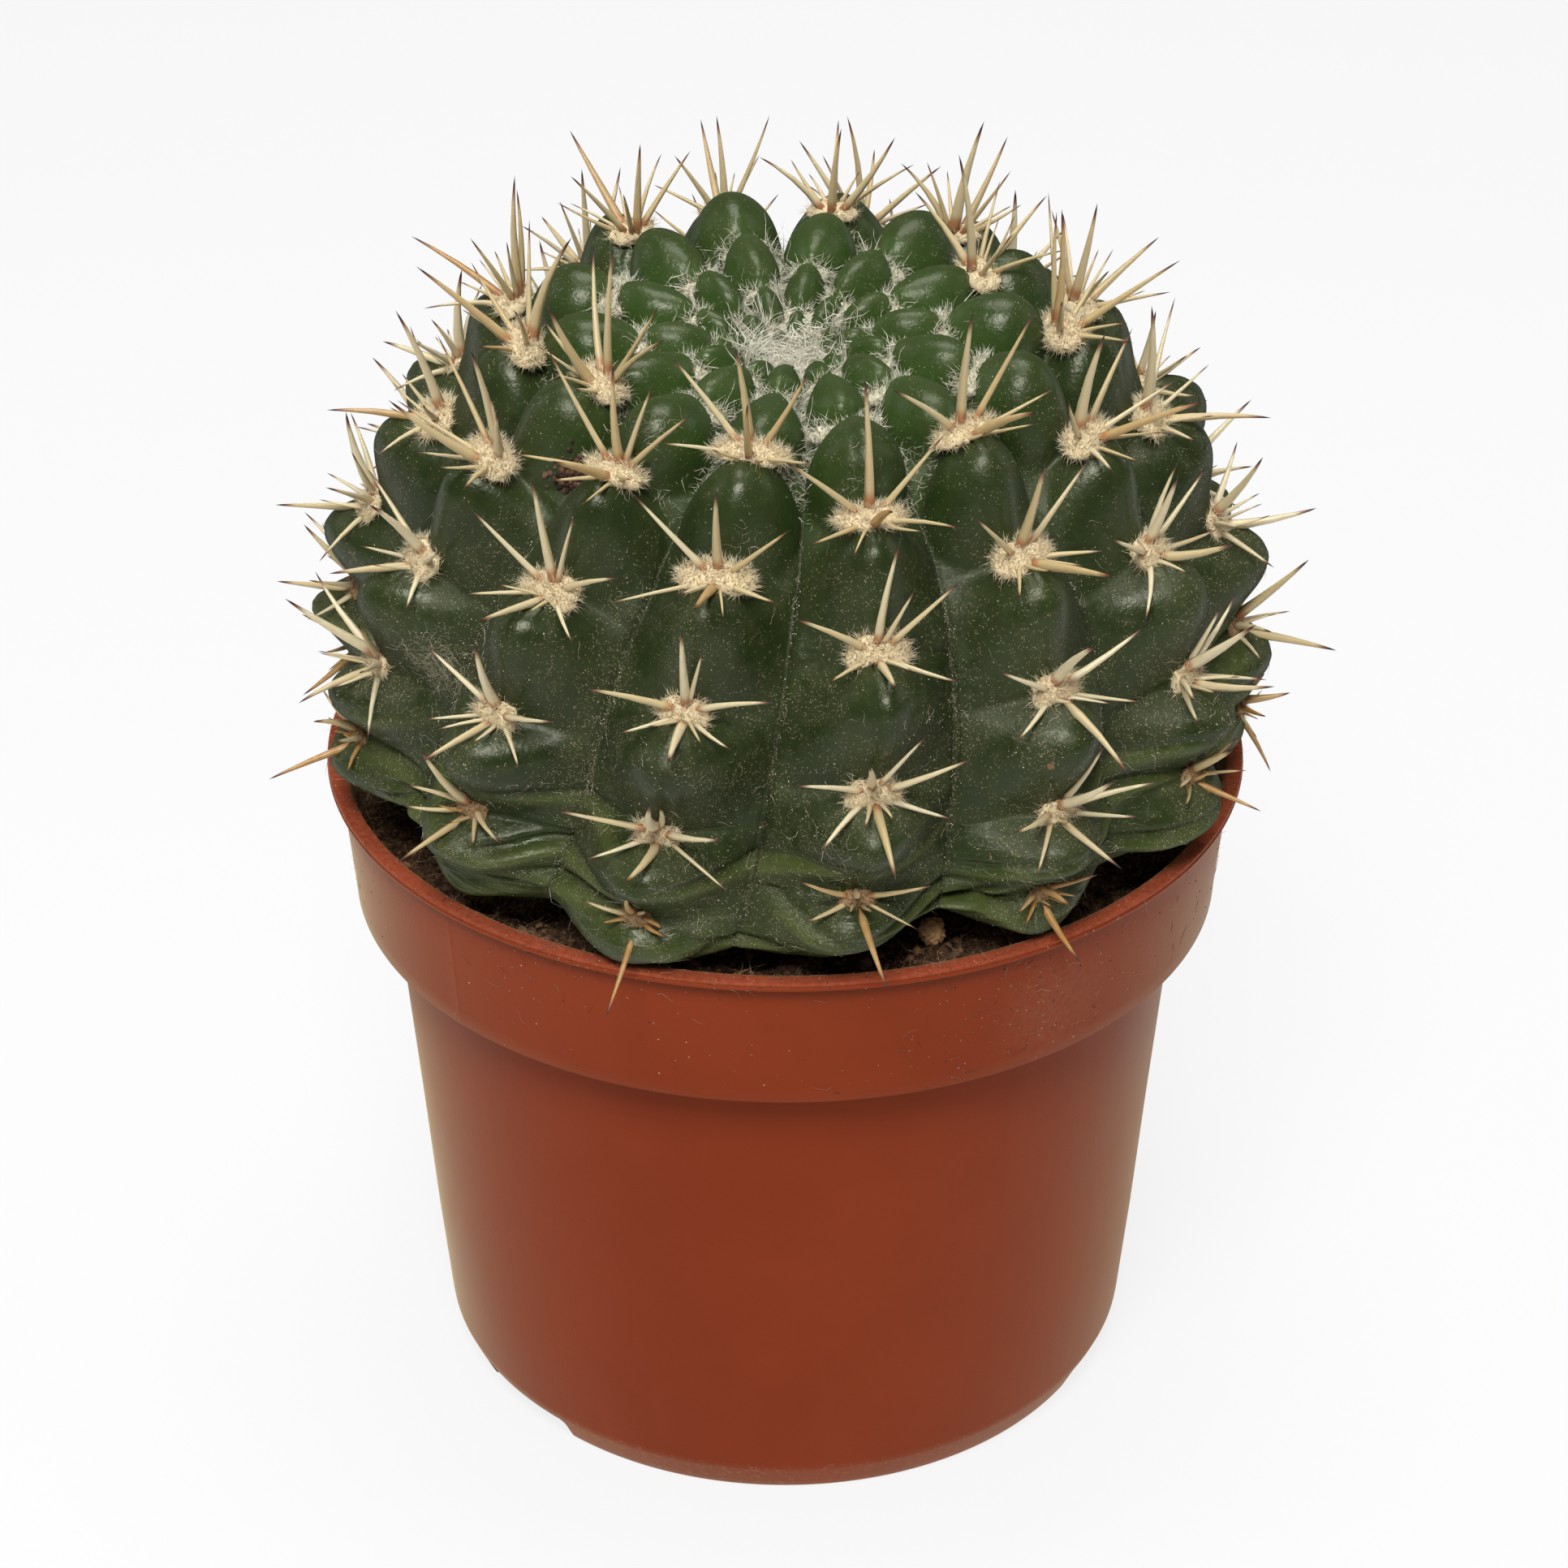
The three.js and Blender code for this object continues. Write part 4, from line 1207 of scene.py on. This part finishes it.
def cleared(root, aim, length, outward):
    """The aim turned outwards and upwards until the spine is clear."""
    for _ in range(30):
        if is_clear(root, aim, length):
            break
        aim = aim + 0.05 * outward + np.array([0, 0, 0.05])
        aim = aim / np.linalg.norm(aim)
    return aim


def spine_shape(name, bend):
    """A flattened tapering spine one unit long and one in root radius, bent to one side."""
    widths = ((0, 1.05), (0.1, 1.0), (0.32, 0.84), (0.56, 0.63), (0.79, 0.39), (0.93, 0.19))
    rings = [(share, width, bend * share**2) for share, width in widths]
    return pointed_shape(name, rings, bend, sides=5)


spine_tree, given, result = new_tree("spines", ("Shapes", "Collection"), ("Material", "Material"))
finished(spine_tree, result, placed_shapes(spine_tree, given, given["Shapes"]), given["Material"])
bends = (-2.4, 1.2, 3.2, 5.2)
spine_shapes = shape_collection(
    "spine_shapes", [spine_shape(f"spine_{index}", bend) for index, bend in enumerate(bends)]
)


def spine_points():
    """One point for each spine, with its turn, its size, its bend and its tone."""
    random = np.random.default_rng(SPINE_SEED)
    points, turning, reach, kind, tone = [], [], [], [], []
    for _, level, point, outward, crownward, sideways in spiny:
        young = 1 - float(ease(FIRST_LEVEL, 3, level))
        old = float(ease(3.9, 5.2, level))
        for kind_of_spine in SPINE_KINDS:
            turn, tilt, length, radius, missing = kind_of_spine
            stout = kind_of_spine == STOUT_LOWER
            if random.random() < missing:
                continue
            turn = math.radians(turn + random.uniform(-9, 9))
            tilt = math.radians(tilt - 17 * young + random.uniform(-8, 8))
            worn_back = (0.1 if stout else 0.5) * old
            length = length * (1 + 0.22 * young) * (1 - worn_back) * random.uniform(0.82, 1.12)
            length = length * (1 - 0.15 * float(ease(0, 20, point[1])))
            width = radius * (1.08 - 0.04 * young - 0.2 * old) * random.uniform(0.85, 1.1)
            aside = math.sin(turn) * crownward + math.cos(turn) * sideways
            aim = math.cos(tilt) * outward + math.sin(tilt) * aside
            root = point + 0.9 * aside + 0.1 * outward
            aim = cleared(root, aim, length, outward)
            points.append(root)
            spin = math.pi + random.uniform(-0.8, 0.8)
            turning.append(turning_of(aim, outward + 0.01 * sideways, spin))
            reach.append((width, width * FLATNESS, length))
            kind.append(int(random.choice(4, p=(0.3, 0.35, 0.25, 0.1))))
            amber = 0.15 + 0.3 * young + 0.75 * old + (0.25 if stout else 0)
            tone.append(min(1, max(0, random.normal(amber, 0.15))))
    return piece_from("spine_points", points, [], turning=turning, reach=reach, kind=kind, tone=tone)


horn, shader = new_material("spine")
along, tone = attribute(horn, "along"), attribute(horn, "tone")
grain = noise_at(horn, 900, detail=3)
base = mixed(horn, between(horn, tone, 0.0, 0.6), (0.70, 0.61, 0.40), (0.52, 0.41, 0.21))
base = mixed(horn, between(horn, tone, 0.6, 1.0), base, (0.42, 0.22, 0.06))
base = mixed(horn, between(horn, grain, 0.45, 0.7, 0, 0.3), base, (0.58, 0.46, 0.26))
base = mixed(horn, between(horn, along, 0.21, 0.11, 0, 0.85), base, (0.36, 0.13, 0.045))
base = mixed(horn, between(horn, along, 0.76, 0.90), base, (0.16, 0.050, 0.022))
base = mixed(horn, between(horn, along, 0.87, 0.94), base, (0.014, 0.009, 0.007))
link(horn, base, shader.inputs["Base Color"])
set_inputs(shader, {"Roughness": 0.38, "Subsurface Weight": 0.25})
set_inputs(shader, {"Subsurface Radius": (1.0, 0.6, 0.25), "Subsurface Scale": 0.0008})
spine_ground = spine_points()
spines = grown("spines", spine_ground, spine_tree, {"Shapes": spine_shapes, "Material": horn})
bpy.data.objects.remove(spine_ground)
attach(spines, "root")


# Wool and silky hair in the crown
# Pale matted wool fills the crevices between the crown's tubercles, and longer straw-coloured hairs
# lie in loose tufts over the middle, where new areoles form.
CROWN_Y = -6.3
CROWN_SEED = 9


def values_of(piece, name):
    """What one attribute says at each point of a piece."""
    values = np.empty(len(piece.data.vertices), dtype=np.float32)
    piece.data.attributes[name].data.foreach_get("value", values)
    return values


def patches(places, size, low, high):
    """Patches about so many millimetres across, from bare to full."""
    return ease(low, high, np.array([noise.noise(Vector(place) / size) for place in places]))


def crevice_cover(places):
    """Where matted wool fills the crevices between the crown's tubercles."""
    reach = np.hypot(places[:, 0] - PLANT_X, places[:, 1] - CROWN_Y)
    tufts = 0.45 + 0.8 * patches(places, 2.6, -0.05, 0.3)
    crevices = ease(0.4, 0.1, values_of(skin, "dome"))
    return tufts * crevices * (places[:, 2] > 130) * ease(34, 20, reach)


def apex_cover(places):
    """Where silky hairs lie, most of all over the middle."""
    reach = np.hypot(places[:, 0] - PLANT_X, places[:, 1] - CROWN_Y)
    tufts = patches(places, 1.8, 0.0, 0.3)
    middle = 1.4 * ease(8.5, 4.5, reach) * ease(0.9, 0.6, values_of(skin, "dome"))
    outer = 0.35 * ease(26, 18, reach) * ease(0.4, 0.1, values_of(skin, "dome"))
    return tufts * (middle + outer) * (places[:, 2] > 140)


silks = []
for bend in (-4, -1, 1, 3):
    silks.append(strand_shape(f"silk_{bend}", bend / 10, wave=0.09, radius=0.016))
silk_shapes = shape_collection("silk_shapes", silks)
silk = tone_material("apex_hair", (0.62, 0.58, 0.44), (0.92, 0.89, 0.76), 0.6)
for name, shapes, cover, material, density, tilt, sizes, combing, locks in (
    ("crown_wool", hair_shapes, crevice_cover, crown_wool, 12000000, (0.3, 1.35), (0.5, 2.0), 0.9, 330),
    ("apex_hair", silk_shapes, apex_cover, silk, 8000000, (0.9, 1.45), (1.6, 6.0), 1.0, 120),
):
    covered(skin, cover)
    extras = {"Seed": CROWN_SEED, "Combing": combing, "Locks": locks}
    piece = strewn_piece(name, skin, strew_tree, shapes, material, density, tilt, sizes, **extras)
    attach(piece, "root")


# Dust, fibres and crumbs on the skin
# Fine pale grit and curled white fibres stick to the waxy skin, most of all low at the front and
# along the furrows, where watering has left them. Peat is caught in a corky hollow by the crown.
FIBRE_CLUMPS = (
    # place in millimetres, thickness and reach of the tangles of fibre caught among the spines
    ((-42.8, -31.3, 118.0), 80, 3.0),
    ((-38.5, -40.0, 126.0), 30, 2.2),
    ((-15.8, -32.2, 150.6), 24, 1.8),
    ((-4.2, -44.0, 141.7), 26, 1.3),
    ((8.2, -39.2, 146.4), 20, 1.5),
    ((6.5, -61.1, 109.5), 16, 2.0),
)


def dust_cover(places):
    """Where grit lies: low, at the front and in the furrows, in drifts."""
    low = ease(138, 104, places[:, 2])
    above_soil = places[:, 2] > 84
    front = 0.45 + 0.55 * ease(20, -30, places[:, 1])
    lines = 5.0 * ease(0.84, 0.96, values_of(skin, "furrow")) * ease(152, 138, places[:, 2])
    drifts = 0.25 + 1.5 * patches(places, 5.0, -0.05, 0.4)
    return above_soil * front * drifts * (0.14 + 0.86 * low + lines)


def fibre_cover(places):
    """Where fibres lie: with the grit, and tangled among some spines."""
    cover = dust_cover(places)
    for place, thickness, reach in FIBRE_CLUMPS:
        away = np.linalg.norm(places - np.array(place), axis=1)
        cover = cover + thickness * np.exp(-((away / reach) ** 2))
    return cover


def scab_cover(places):
    """Where peat crumbs are caught in a corky hollow left of the crown."""
    away = np.linalg.norm(places - np.array(SCARS[0][0]), axis=1)
    return np.exp(-((away / 1.9) ** 2))


dust = tone_material("dust", (0.24, 0.20, 0.12), (0.72, 0.66, 0.50), 0.9)
caught_peat = tone_material("caught_peat", (0.022, 0.011, 0.007), (0.15, 0.075, 0.045), 0.9)
for name, shapes, cover, density, tilt, sizes, material in (
    ("skin_fibres", fibres, fibre_cover, 190000, (1.15, 1.6), (0.3, 2.4), dust),
    ("skin_grit", grits, dust_cover, 400000, (0, 3), (0.08, 0.26), dust),
    ("skin_crumbs", crumbs, scab_cover, 12000000, (0, 3), (0.4, 1.0), caught_peat),
):
    covered(skin, cover)
    piece = strewn_piece(name, skin, strew_tree, shapes, material, density, tilt, sizes)
    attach(piece, "root")


# Lint and dirt on the pot
# Bits of peat and short pale fibres stick to the collar, most of all at the right of the front, and
# dust lies on the flat lip. They lie on the plastic and ride with it.
def pot_cover(places):
    """Where bits stick: the collar's right front, under the lip at the left, and on the lip."""
    turn = np.degrees(np.arctan2(places[:, 1], places[:, 0])) % 360
    reach = np.hypot(places[:, 0], places[:, 1])
    collar = (reach > 56.9) & (places[:, 2] > 71.5)
    right_front = np.exp(-(((turn - 301) / 13) ** 2))
    under_lip = np.exp(-(((turn - 246) / 16) ** 2)) * ease(84, 88, places[:, 2])
    lip = places[:, 2] > 89.7
    blotches = 0.3 + 1.6 * patches(places, 4.0, 0.0, 0.35)
    return collar * blotches * (0.1 + right_front + 0.9 * under_lip) + 0.8 * lip


covered(pot, pot_cover)
pot_dirt = tone_material("pot_dirt", (0.05, 0.022, 0.013), (0.44, 0.27, 0.18), 0.9)
for name, shapes, density, tilt, sizes in (
    ("pot_fibres", fibres, 240000, (1.2, 1.6), (0.5, 3.0)),
    ("pot_grit", grits, 900000, (0, 3), (0.08, 0.34)),
):
    piece = strewn_piece(name, pot, strew_tree, shapes, pot_dirt, density, tilt, sizes)
    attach(piece, "root")


# Clearing up
# The small shapes that the trees placed are taken out again, and so is the attribute that says how
# densely the skin, the soil and the pot are strewn.
for used in (grits, crumbs, fibres, straws, cushion_shapes, hair_shapes, silk_shapes, spine_shapes):
    for shape in list(used.objects):
        bpy.data.objects.remove(shape)
    bpy.data.collections.remove(used)
for ground in (skin, soil, pot):
    ground.data.attributes.remove(ground.data.attributes["cover"])
